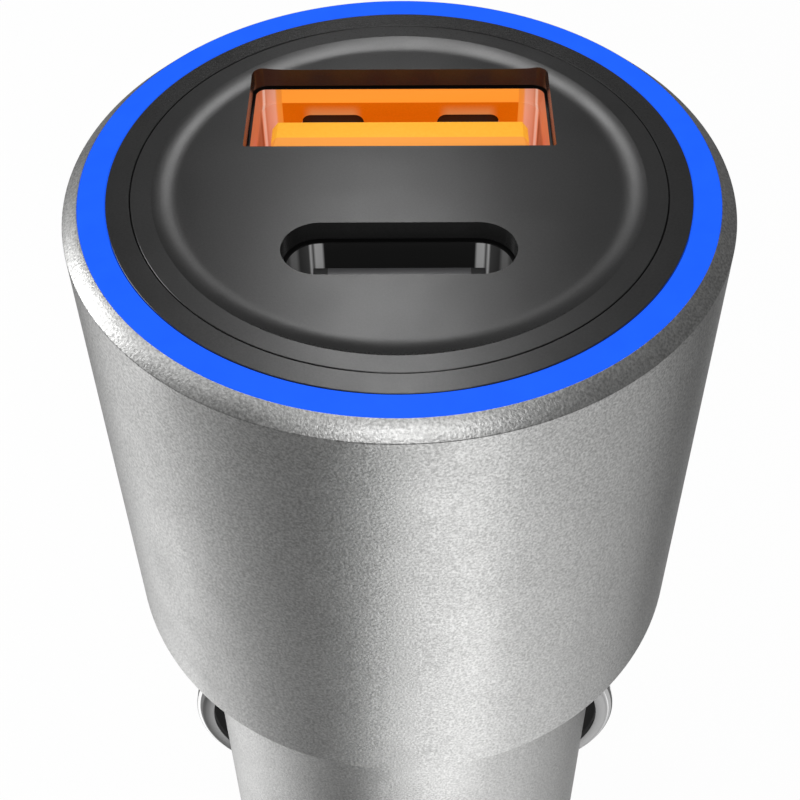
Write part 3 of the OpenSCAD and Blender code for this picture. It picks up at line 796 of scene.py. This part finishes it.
BRASS = Finish("stamped brass", (0.62, 0.45, 0.18), (0.72, 0.55, 0.25), (0.25, 0.35), metallic=1.0)
SPRING_WIRE = Finish("spring wire", (0.42, 0.42, 0.44), (0.52, 0.52, 0.54), (0.2, 0.3), metallic=1.0)
TIP_NICKEL = Finish("turned nickel", (0.66, 0.65, 0.62), (0.74, 0.73, 0.7), (0.12, 0.2), metallic=1.0)
_MADE: dict[str, bpy.types.Material] = {}


def dress(piece: Piece, finish: Finish) -> None:
    """Puts a finish on a whole piece or a CAD node."""
    if finish.name not in _MADE:
        _MADE[finish.name] = finish.material()
    piece.data.materials.clear()
    piece.data.materials.append(_MADE[finish.name])


def hand_in(piece: Piece, finish: Finish, body: Body, slot: str, *nodes: str) -> None:
    """Dresses a finished piece, puts it in place of CAD nodes and lets it ride on a body.

    Args:
        piece: the finished piece.
        finish: its finish.
        body: the body that it rides on.
        slot: the record's material slot; not used.
        nodes: the CAD nodes that it stands for.
    """
    dress(piece, finish)
    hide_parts(*nodes)
    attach(piece, body.value)
    LOG.info("%s: %d faces, rides on %s", piece.name, len(piece.data.polygons), body.value)


# Sub-assemblies


@dataclass
class TurnedBody:
    """The turned and blasted aluminium body with its lit ring."""

    head_r: float = 13.0
    face_z: float = 22.9
    rim_w: float = 0.65
    rim_drop: float = 0.57
    ring_seat_z: float = 21.4
    bore_r: float = 12.0
    board_z: float = 7.4
    board_seat_r: float = 11.2
    shoulder_t: float = 1.5
    barrel_r: float = 10.4
    barrel_bore_r: float = 9.4
    barrel_l: float = 30.0
    pilot_r: float = 10.3
    pilot_l: float = 4.5
    edge: float = 0.2
    slot_w: float = 4.6
    slot_z: float = -15.0
    slot_half: float = 5.79
    ring_edge: float = 0.02
    ring_in_r: float = 11.32
    ring_out_r: float = 12.34
    skirt_r: float = 11.9
    skirt_low: float = 9.9

    def housing(self) -> Piece:
        """Turns the body, cuts a slot for each wing and breaks the edges."""
        seat_r = self.head_r - self.rim_w
        low = -self.barrel_l
        piece = turned("turned_housing", [
            (self.barrel_bore_r, low), (self.pilot_r - self.edge, low), (self.pilot_r, low + self.edge),
            (self.pilot_r, low + self.pilot_l), (self.barrel_r, low + self.pilot_l + self.edge),
            (self.barrel_r, 0), (self.head_r - self.edge, 0), (self.head_r, self.edge),
            (self.head_r, self.face_z - self.rim_drop), (seat_r, self.face_z),
            (seat_r, self.ring_seat_z), (self.bore_r, self.ring_seat_z), (self.bore_r, self.board_z),
            (self.board_seat_r, self.board_z), (self.board_seat_r, self.shoulder_t),
            (self.barrel_bore_r, self.shoulder_t),
        ])
        for side in (-1, 1):
            low, high = self.slot_z - self.slot_half, self.slot_z + self.slot_half
            cutter = Prism(side * self.barrel_r, 0, 8, self.slot_w, 0, low, high).build("slot_cutter")
            cut(piece, cutter)
        break_edges(piece, 0.03)
        smooth(piece)
        keep_flats(piece)
        return piece

    def ring(self) -> Piece:
        """Turns the lit ring: a flange in the face and a skirt down to the lamps."""
        edge, r_in, r_out = self.ring_edge, self.ring_in_r, self.ring_out_r
        piece = turned("lit_ring", [
            (r_in, self.skirt_low), (self.skirt_r, self.skirt_low),
            (self.skirt_r, self.ring_seat_z), (r_out, self.ring_seat_z),
            (r_out, self.face_z - edge), (r_out - edge, self.face_z), (r_in + edge, self.face_z),
            (r_in, self.face_z - edge),
        ])
        smooth(piece)
        return piece

    def build(self) -> None:
        """Builds and hands in both pieces."""
        hand_in(self.housing(), BLASTED_METAL, Body.CHARGER, "blasted_aluminium", "housing")
        hand_in(self.ring(), LIT_BLUE, Body.CHARGER, "lit_ring", "light_ring")


WIDE_OPENING = Prism(0, 4.7, 12.2, 5.1, 0.5, BOARD_Z, MOUTH_Z)
SMALL_OPENING = Prism(0, -3.86, 8.5, 2.58, 1.29, BOARD_Z, MOUTH_Z, segments=20)
LIP_CUTOUTS = (
    Prism(0, 4.675, 12.5, 5.21, 0.5, 21.0, 24.0),
    Prism(0, 3.07, 12.5, 2.0, 0.1, 21.0, 24.0),
    Prism(0, -3.96, 8.76, 2.84, 1.42, 21.0, 24.0, segments=20),
)


@dataclass
class Face:
    """The black trim ring and the dished face plate."""

    face_z: float = 22.9
    dish_z: float = 22.76
    plate_r: float = 10.34
    trim_in_r: float = 10.38
    trim_out_r: float = 11.28
    flange_top: float = 20.9
    flange_low: float = 19.7
    seam: float = 0.02
    slope_out_r: float = 9.55
    slope_in_r: float = 8.55
    slope_steps: int = 16
    floor_ring: float = 0.1
    pocket_margin: float = 0.4
    lip_low: float = 21.95
    leg_w: float = 4.6
    leg_t: float = 0.8
    leg_corner: float = 0.3
    leg_inset: float = 0.25

    def trim(self) -> Piece:
        """Turns the trim ring."""
        piece = turned("trim_ring", [
            (self.trim_in_r, self.flange_top), (self.trim_out_r, self.flange_top),
            (self.trim_out_r, self.face_z - self.seam), (self.trim_out_r - self.seam, self.face_z),
            (self.trim_in_r + self.seam, self.face_z), (self.trim_in_r, self.face_z - self.seam),
        ])
        smooth(piece)
        return piece

    def slope(self) -> list[Point]:
        """Corners of the slope into the dish: crisp at its outer edge and soft at its inner one."""
        depth, width = self.face_z - self.dish_z, self.slope_out_r - self.slope_in_r
        shares = [i / self.slope_steps for i in range(self.slope_steps + 1)]
        return [(self.slope_out_r - width * t, self.dish_z + depth * (1 - t) ** 2) for t in shares]

    def plate(self) -> Piece:
        """Turns the plate, then cuts both openings and the pockets behind them."""
        outline = [
            (0, self.flange_low), (self.trim_out_r, self.flange_low), (self.trim_out_r, self.flange_top),
            (self.plate_r, self.flange_top), (self.plate_r, self.face_z - self.seam),
            (self.plate_r - self.seam, self.face_z), *self.slope(),
            (self.slope_in_r - self.floor_ring, self.dish_z), (0, self.dish_z),
        ]
        piece = turned("dished_plate", outline, closed=False)
        for cutout in LIP_CUTOUTS:
            cut(piece, cutout.build("lip_cutter"))
        for opening in (WIDE_OPENING, SMALL_OPENING):
            cut(piece, opening.grown(self.pocket_margin, 18.0, self.lip_low).build("pocket_cutter"))
        break_edges(piece, self.seam, angle=50)
        smooth(piece, 12)
        keep_flats(piece)
        return piece

    def leg(self, angle: float) -> Piece:
        """Builds one leg between the flange and the board, at an angle in degrees."""
        middle = self.trim_out_r - self.leg_t / 2 - self.leg_inset
        leg = Prism(middle, 0, self.leg_t, self.leg_w, self.leg_corner, BOARD_Z, self.flange_low, segments=3)
        piece = leg.build("leg")
        piece.data.transform(Matrix.Rotation(math.radians(angle), 4, "Z"))
        smooth(piece)
        return piece

    def build(self) -> None:
        """Builds and hands in the trim ring and the plate with its legs."""
        hand_in(self.trim(), BLACK_TRIM, Body.CHARGER, "black_trim", "bezel_ring")
        legs = [self.leg(angle) for angle in (45, 135, 225, 315)]
        plate = joined("dished_plate", [self.plate(), *legs])
        hand_in(plate, BLACK_FACE, Body.CHARGER, "black_face", "face_plate")


@dataclass
class WideOutlet:
    """The orange outlet: a flared shell with two sprung windows, and the tongue on its foot."""

    board_z: float = BOARD_Z
    mouth_z: float = MOUTH_Z
    sheet: float = 0.3
    lead_in: float = 0.62
    narrowing: float = 0.1
    corner: float = 0.95
    finger_w: float = 1.9
    finger_pitch: float = 5.9
    window_w: float = 2.7
    window_low: float = 15.1
    window_high: float = 20.48
    window_corner: float = 0.4
    finger_gap: float = 1.05
    bow: float = 0.35
    tongue_w: float = 10.7
    tongue_near: float = 3.0
    tongue_far: float = 4.9
    tongue_top: float = 21.8
    foot_top: float = 10.6
    chamfer: Point = (0.9, 0.35)
    end_chamfer: Point = (0.25, 0.35)
    strip_x: tuple[float, ...] = (-3.5, -1.0, 1.0, 3.5)
    strip_top: float = 21.06

    def shell(self) -> Piece:
        """Builds the shell: outside, flared inside, a round-cornered window for each finger."""
        far = WIDE_OPENING.y + WIDE_OPENING.h / 2
        piece = WIDE_OPENING.grown(self.sheet, self.board_z, self.mouth_z).build("orange_shell")
        bore = WIDE_OPENING.grown(-self.narrowing, self.board_z - 1, self.mouth_z + 1)
        bore.corner = self.corner
        cut(piece, bore.build("bore_cutter"))
        flare = WIDE_OPENING.grown(-self.narrowing, self.mouth_z - self.lead_in, self.mouth_z)
        cut(piece, flare.flared("flare_cutter", self.narrowing + 0.06))
        height = self.window_high - self.window_low
        fingers = []
        for side in (-1, 1):
            window = Prism(0, 0, self.window_w, height, self.window_corner, -1, 1).build("window_cutter")
            middle = (side * self.finger_pitch / 2 * MM, far * MM, (self.window_low + height / 2) * MM)
            window.data.transform(Matrix.Translation(middle) @ Matrix.Rotation(math.pi / 2, 4, "X"))
            cut(piece, window)
            fingers.append(self.finger(side * self.finger_pitch / 2, far))
        break_edges(piece, 0.03, angle=50)
        piece = joined("orange_shell", [piece, *fingers])
        smooth(piece, 25)
        return piece

    def finger(self, x: float, y: float) -> Piece:
        """Builds one bowed spring finger, hung from the lower end of its window.

        Args:
            x: the middle of the finger.
            y: the inner face of the shell's far wall.

        Returns:
            The finger.
        """
        low, high = self.window_low, self.window_high - self.finger_gap
        bend = low + 0.7 * (high - low)
        left = x - self.finger_w / 2
        piece = outlined("spring_finger", [
            (left, y, low), (left, y + self.sheet, low), (left, y + self.sheet - self.bow, bend),
            (left, y + self.sheet, high), (left, y, high), (left, y - self.bow, bend),
        ])
        bpy.ops.mesh.edge_face_add()
        extrude_by(self.finger_w, 0, 0)
        close_mesh()
        break_edges(piece, 0.04, angle=20)
        return piece

    def tongue(self) -> Piece:
        """Builds the tongue with its chamfered end, the strips' grooves and the foot."""
        depth = self.tongue_far - self.tongue_near
        middle, half = (self.tongue_near + self.tongue_far) / 2, self.tongue_w / 2
        block = Prism(0, middle, self.tongue_w, depth, 0, self.board_z, self.tongue_top)
        piece = block.build("orange_tongue")
        w, h = self.chamfer
        slice_off(piece, (0, self.tongue_near + w, self.tongue_top), (0, -h, w))
        w, h = self.end_chamfer
        for side in (-1, 1):
            slice_off(piece, (side * (half - w), 0, self.tongue_top), (side * h, 0, w))
        for x in self.strip_x:
            groove = Prism(x, self.tongue_far, 1.02, 0.4, 0, self.foot_top, self.strip_top)
            cut(piece, groove.build("groove_cutter"))
        break_edges(piece, 0.04, angle=15)
        foot = WIDE_OPENING.grown(-self.narrowing - 0.05, self.board_z, self.foot_top)
        foot.corner = self.corner
        unite(piece, foot.build("foot"))
        smooth(piece, 20)
        return piece

    def build(self) -> None:
        """Builds and hands in the shell and the tongue."""
        hand_in(self.shell(), ORANGE_SHELL, Body.CHARGER, "orange_shell", "wide_shell")
        hand_in(self.tongue(), ORANGE_TONGUE, Body.CHARGER, "orange_insulator", "wide_tongue")


@dataclass
class SmallOutlet:
    """The small oval outlet: a drawn shell and a thin tongue with shoulders on its foot."""

    board_z: float = BOARD_Z
    mouth_z: float = MOUTH_Z
    sheet: float = 0.3
    foot_top: float = 15.2
    tongue_w: float = 5.4
    tongue_t: float = 0.7
    tongue_top: float = 21.35
    shoulder_w: float = 0.55
    shoulder_top: float = 21.32

    def shell(self) -> Piece:
        """Builds the oval shell."""
        piece = SMALL_OPENING.grown(self.sheet, self.board_z, self.mouth_z).build("oval_shell")
        cut(piece, SMALL_OPENING.grown(0, self.board_z - 1, self.mouth_z + 1).build("bore_cutter"))
        break_edges(piece, 0.04, angle=50)
        smooth(piece, 25)
        return piece

    def tongue(self) -> Piece:
        """Builds the thin tongue with its shoulders and foot."""
        y, wide = SMALL_OPENING.y, self.tongue_w + 2 * self.shoulder_w
        blade = Prism(0, y, self.tongue_w, self.tongue_t, 0, self.foot_top, self.tongue_top)
        piece = blade.build("thin_tongue")
        break_edges(piece, 0.06, angle=50)
        shoulders = Prism(0, y, wide, self.tongue_t, 0, self.foot_top - 0.5, self.shoulder_top)
        unite(piece, shoulders.build("shoulders"))
        foot = SMALL_OPENING.grown(-0.05, self.board_z, self.foot_top)
        unite(piece, foot.build("foot"))
        smooth(piece, 25)
        return piece

    def build(self) -> None:
        """Builds and hands in the shell and the tongue."""
        hand_in(self.shell(), BANDED_STEEL, Body.CHARGER, "plated_steel", "small_shell")
        hand_in(self.tongue(), DARK_INSULATOR, Body.CHARGER, "dark_insulator", "small_tongue")


@dataclass
class Wing:
    """A bowed spring channel with rounded bends and a straight leg at each end."""

    centre_x: float = 4.8
    middle_z: float = -15.0
    radius: float = 7.03
    width: float = 4.0
    strip: float = 0.4
    flank: float = 1.0
    bend: float = 0.55
    leg_x: float = 8.665
    leg_start: float = 5.387
    leg_end: float = 7.787
    reach: float = 60.0
    arc_steps: int = 72
    bend_steps: int = 8

    def section(self) -> list[Point]:
        """Radius and y of each corner of the channel's section."""
        side, centre_r, centre_y = self.width / 2, self.radius - self.bend, self.width / 2 - self.bend
        turns = [math.pi / 2 * i / self.bend_steps for i in range(self.bend_steps + 1)]
        outer, inner = self.bend, self.bend - self.strip
        half = [(centre_r + outer * math.cos(a), centre_y + outer * math.sin(a)) for a in turns]
        half += [(self.radius - self.flank, side), (self.radius - self.flank, side - self.strip)]
        half += [(centre_r + inner * math.cos(a), centre_y + inner * math.sin(a)) for a in reversed(turns)]
        return half + [(r, -y) for r, y in reversed(half)]

    def build(self, name: str, angle: float) -> Piece:
        """Builds one wing: its section is spun along the bow, cut off at the legs and joined to them.

        Args:
            name: the piece's name.
            angle: where the wing stands round the axis, in degrees from +X.

        Returns:
            The wing.
        """
        tilt = math.radians(self.reach)
        piece = outlined(name, [
            (self.centre_x + r * math.cos(tilt), y, self.middle_z - r * math.sin(tilt))
            for r, y in self.section()
        ])
        centre = Vector((self.centre_x, 0, self.middle_z)) * MM
        bpy.ops.mesh.spin(steps=self.arc_steps, angle=2 * tilt, center=centre, axis=(0, 1, 0))
        bpy.ops.mesh.select_all(action="DESELECT")
        bpy.ops.mesh.select_non_manifold()
        bpy.ops.mesh.fill_holes(sides=0)
        close_mesh()
        slice_off(piece, (self.leg_x, 0, 0), (-1, 0, 0))
        for side in (-1, 1):
            ends = sorted(self.middle_z + side * z for z in (self.leg_start, self.leg_end))
            leg = Prism(self.leg_x + self.strip / 2, 0, self.strip, self.width, 0, *ends)
            unite(piece, leg.build("leg"))
        piece.data.transform(Matrix.Rotation(math.radians(angle), 4, "Z"))
        break_edges(piece, 0.05, angle=50)
        smooth(piece, 40)
        keep_flats(piece)
        return piece


@dataclass
class Nose:
    """The black nose with the sprung tip and its spring."""

    top_z: float = -26.0
    collar_z: float = -31.2
    end_z: float = -38.3
    barrel_z: float = -30.0
    spigot_r: float = 9.35
    collar_r: float = 10.1
    end_r: float = 5.4
    tip_r: float = 3.5
    hole_r: float = 3.57
    lip_z: float = -37.0
    spring_bore_r: float = 4.9
    terminal_z: float = -26.6
    plate_r: float = 6.1
    flank_steps: int = 16

    def nose(self) -> Piece:
        """Turns the nose with its curved flank."""
        flank = []
        for i in range(self.flank_steps + 1):
            t = i / self.flank_steps
            r = self.end_r + (self.collar_r - self.end_r) * math.cos(math.pi / 2 * t)
            flank.append((r, self.collar_z + (self.end_z - self.collar_z) * t))
        piece = turned("moulded_nose", [
            (self.plate_r, self.top_z), (self.spigot_r, self.top_z), (self.spigot_r, self.barrel_z),
            (self.collar_r, self.barrel_z), *flank, (self.hole_r, self.end_z),
            (self.hole_r, self.lip_z), (self.spring_bore_r, self.lip_z),
            (self.spring_bore_r, self.terminal_z), (self.plate_r, self.terminal_z),
        ], steps=128)
        break_edges(piece, 0.12, segments=3, angle=40)
        smooth(piece)
        return piece

    def tip(self) -> Piece:
        """Turns the tip: rounded end, shank, flange and stem."""
        end_z, round_r = -41.5, 4.5
        turn = math.asin(self.tip_r / round_r)
        cap = [
            (round_r * math.sin(turn * i / 12), end_z + round_r * (1 - math.cos(turn * i / 12)))
            for i in range(13)
        ]
        piece = turned("sprung_tip", [
            *cap, (self.tip_r, -37.0), (4.6, -37.0), (4.6, -36.0), (2.4, -36.0), (2.4, -33.0), (0, -33.0),
        ], closed=False, steps=96)
        break_edges(piece, 0.08)
        smooth(piece)
        return piece

    def spring(self) -> Piece:
        """Winds the spring from a circle of wire."""
        low, high, wire, turns = -36.0, -26.64, 0.3, 5
        select_nothing()
        bpy.ops.mesh.primitive_circle_add(
            vertices=10, radius=wire * MM, location=(3.3 * MM, 0, (low + wire) * MM),
            rotation=(math.pi / 2, 0, 0),
        )
        piece = bpy.context.object
        piece.name = piece.data.name = "wound_spring"
        bpy.ops.object.transform_apply(location=True, rotation=True, scale=True)
        apply_modifier(
            piece, "SCREW", angle=FULL_TURN * turns, screw_offset=(high - low - 2 * wire) * MM,
            steps=24 * turns, render_steps=24 * turns, axis="Z",
        )
        make_active(piece)
        bpy.ops.object.mode_set(mode="EDIT")
        bpy.ops.mesh.select_all(action="SELECT")
        bpy.ops.mesh.remove_doubles(threshold=MERGE)
        bpy.ops.mesh.select_all(action="DESELECT")
        bpy.ops.mesh.select_non_manifold()
        bpy.ops.mesh.fill_holes(sides=12)
        close_mesh()
        smooth(piece, 50)
        return piece

    def build(self) -> None:
        """Builds and hands in the nose, the tip and its spring."""
        hand_in(self.nose(), BLACK_NOSE, Body.CHARGER, "black_nose", "nose")
        hand_in(self.tip(), TIP_NICKEL, Body.TIP, "tip_nickel", "tip_contact")
        spring = self.spring()
        hand_in(spring, SPRING_WIRE, Body.CHARGER, "spring_steel", "tip_spring")
        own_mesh(spring)


def build_wings() -> None:
    """Builds and hands in both side wings."""
    left, right = Wing().build("left_bow", 180), Wing().build("right_bow", 0)
    hand_in(left, BRIGHT_SPRING, Body.LEFT_CONTACT, "bright_spring", "left_wing")
    hand_in(right, BRIGHT_SPRING, Body.RIGHT_CONTACT, "bright_spring", "right_wing")


CAD_FINISHES: dict[str, Finish] = {
    "wide_pins": GILT,
    "small_pins": SHADED_GILT,
    "port_board": BOARD_GREEN,
    "ring_lamps": LAMP_BODY,
    "main_board": BOARD_GREEN,
    "choke": FERRITE,
    "input_capacitor": CAN,
    "output_capacitor": CAN,
    "chip_capacitors": CHIP_CERAMIC,
    "controllers": CHIP_BLACK,
    "power_switches": CHIP_BLACK,
    "fuse": FUSE_BODY,
    "contact_carrier": BLACK_MOULDING,
    "tip_terminal": BRASS,
}


def dress_cad_nodes() -> None:
    """Puts a finish on each CAD node that is shown as it is."""
    for name, finish in CAD_FINISHES.items():
        dress(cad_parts[name], finish)
        LOG.info("%s: dressed as %s", name, finish.name)


# Studio


@dataclass(frozen=True)
class Softbox:
    """A rectangular light that faces the object."""

    name: str
    azimuth: float
    elevation: float
    width: float
    height: float
    radiance: float
    distance: float = 0.4
    aim: Place = (0, 0, 0.01)

    def place(self) -> None:
        """Makes the light; its power follows from its radiance and size, which are in metres."""
        a, e = math.radians(self.azimuth), math.radians(self.elevation)
        out = Vector((math.sin(a) * math.cos(e), -math.cos(a) * math.cos(e), math.sin(e)))
        light = bpy.data.lights.new(self.name, "AREA")
        light.shape = "RECTANGLE"
        light.size, light.size_y = self.width, self.height
        light.energy = self.radiance * math.pi * self.width * self.height
        lamp = bpy.data.objects.new(self.name, light)
        lamp.location = Vector(self.aim) + out * self.distance
        lamp.rotation_euler = out.to_track_quat("Z", "Y").to_euler()
        bpy.context.scene.collection.objects.link(lamp)


LIGHTS = [
    Softbox("left_low", -104, -52, 0.20, 0.34, 1.05),
    Softbox("left_front_low", -75, -52, 0.20, 0.34, 0.12),
    Softbox("front_low", 14, -52, 0.19, 0.34, 1.2),
    Softbox("right_front_low", 45, -52, 0.20, 0.34, 0.5),
    Softbox("right_low", 80, -52, 0.20, 0.34, 0.42),
    Softbox("back_low", 165, -52, 0.20, 0.34, 0.8),
    Softbox("left_side", -104, 12, 0.15, 0.18, 4.8),
    Softbox("left_back", -128, 12, 0.13, 0.18, 0.3),
    Softbox("left_high", -90, 45, 0.20, 0.20, 0.9),
    Softbox("front_high", 4, 47, 0.20, 0.16, 3.3),
    Softbox("back_strip", -178, 54, 0.045, 0.18, 7.6),
    Softbox("overhead", 180, 88, 0.30, 0.30, 1.0),
]


@dataclass
class Studio:
    """Pale floor, soft light and the photograph's camera."""

    floor_z: float = -41.55
    floor_size: float = 2.4
    camera_at: Place = (0.43, -42.42, 57.64)
    pitch: float = 45.47
    roll: float = -0.21
    focal: float = 63.36
    sensor: float = 36.0
    shift: Point = (-0.0139, -0.09)
    ambient: float = 0.12

    def floor(self) -> None:
        """Makes the pale floor, which is white to the camera and a soft grey to reflections."""
        select_nothing()
        bpy.ops.mesh.primitive_plane_add(size=self.floor_size, location=(0, 0, self.floor_z * MM))
        plane = bpy.context.object
        plane.name = "pale_floor"
        bpy.ops.object.transform_apply(location=True, rotation=True, scale=True)
        made = bpy.data.materials.new("pale floor")
        made.use_nodes = True
        n = Nodes(made.node_tree)
        shader = made.node_tree.nodes["Principled BSDF"]
        shader.inputs["Base Color"].default_value = (0.8, 0.8, 0.8, 1)
        shader.inputs["Roughness"].default_value = 0.9
        glow = n.add("ShaderNodeEmission")
        glow.inputs["Strength"].default_value = 1.05
        mix = n.add("ShaderNodeMixShader")
        path = n.add("ShaderNodeLightPath")
        share = n.add("ShaderNodeMath", operation="MULTIPLY", in_1=0.9)
        n.link(path.outputs["Is Camera Ray"], share.inputs[0])
        n.link(share.outputs[0], mix.inputs[0])
        n.link(shader.outputs[0], mix.inputs[1])
        n.link(glow.outputs[0], mix.inputs[2])
        n.link(mix.outputs[0], made.node_tree.nodes["Material Output"].inputs[0])
        plane.data.materials.append(made)
        plane.visible_glossy = False
        plane.visible_shadow = False

    def world(self) -> None:
        """Sets an even ambient light, white where the camera sees it."""
        world = bpy.data.worlds.new("pale_studio")
        bpy.context.scene.world = world
        world.use_nodes = True
        n = Nodes(world.node_tree)
        ground = world.node_tree.nodes["Background"]
        path = n.add("ShaderNodeLightPath")
        strength = n.add("ShaderNodeMapRange")
        strength.inputs["To Min"].default_value = self.ambient
        strength.inputs["To Max"].default_value = 1.0
        n.link(path.outputs["Is Camera Ray"], strength.inputs["Value"])
        ground.inputs["Color"].default_value = (1, 1, 1, 1)
        n.link(strength.outputs[0], ground.inputs["Strength"])

    def camera(self) -> None:
        """Places the camera as fitted to the photograph."""
        p, r = math.radians(self.pitch), math.radians(self.roll)
        forward = Vector((0, math.cos(p), -math.sin(p)))
        level_up = Vector((0, math.sin(p), math.cos(p)))
        right = Vector((1, 0, 0)) * math.cos(r) + level_up * math.sin(r)
        up = level_up * math.cos(r) - Vector((1, 0, 0)) * math.sin(r)
        turn = Matrix((right, up, -forward)).transposed()
        data = bpy.data.cameras.new("photo_camera")
        data.lens, data.sensor_width = self.focal, self.sensor
        data.shift_x, data.shift_y = self.shift
        data.clip_start, data.clip_end = 0.001, 10
        camera = bpy.data.objects.new("photo_camera", data)
        camera.matrix_world = Matrix.Translation(Vector(self.camera_at) * MM) @ turn.to_4x4()
        bpy.context.scene.collection.objects.link(camera)
        bpy.context.scene.camera = camera

    def build(self) -> None:
        """Builds floor, world, lights and camera."""
        self.camera()
        self.floor()
        self.world()
        for light in LIGHTS:
            light.place()
        bpy.context.scene.view_settings.view_transform = "Standard"
        LOG.info("studio: %d lights", len(LIGHTS))


def main() -> None:
    """Builds the studio and every sub-assembly in order."""
    logging.basicConfig(level=logging.INFO, format="%(message)s", stream=sys.stdout)
    Studio().build()
    TurnedBody().build()
    Face().build()
    WideOutlet().build()
    SmallOutlet().build()
    build_wings()
    Nose().build()
    dress_cad_nodes()
    select_nothing()


if __name__ == "__main__":
    main()
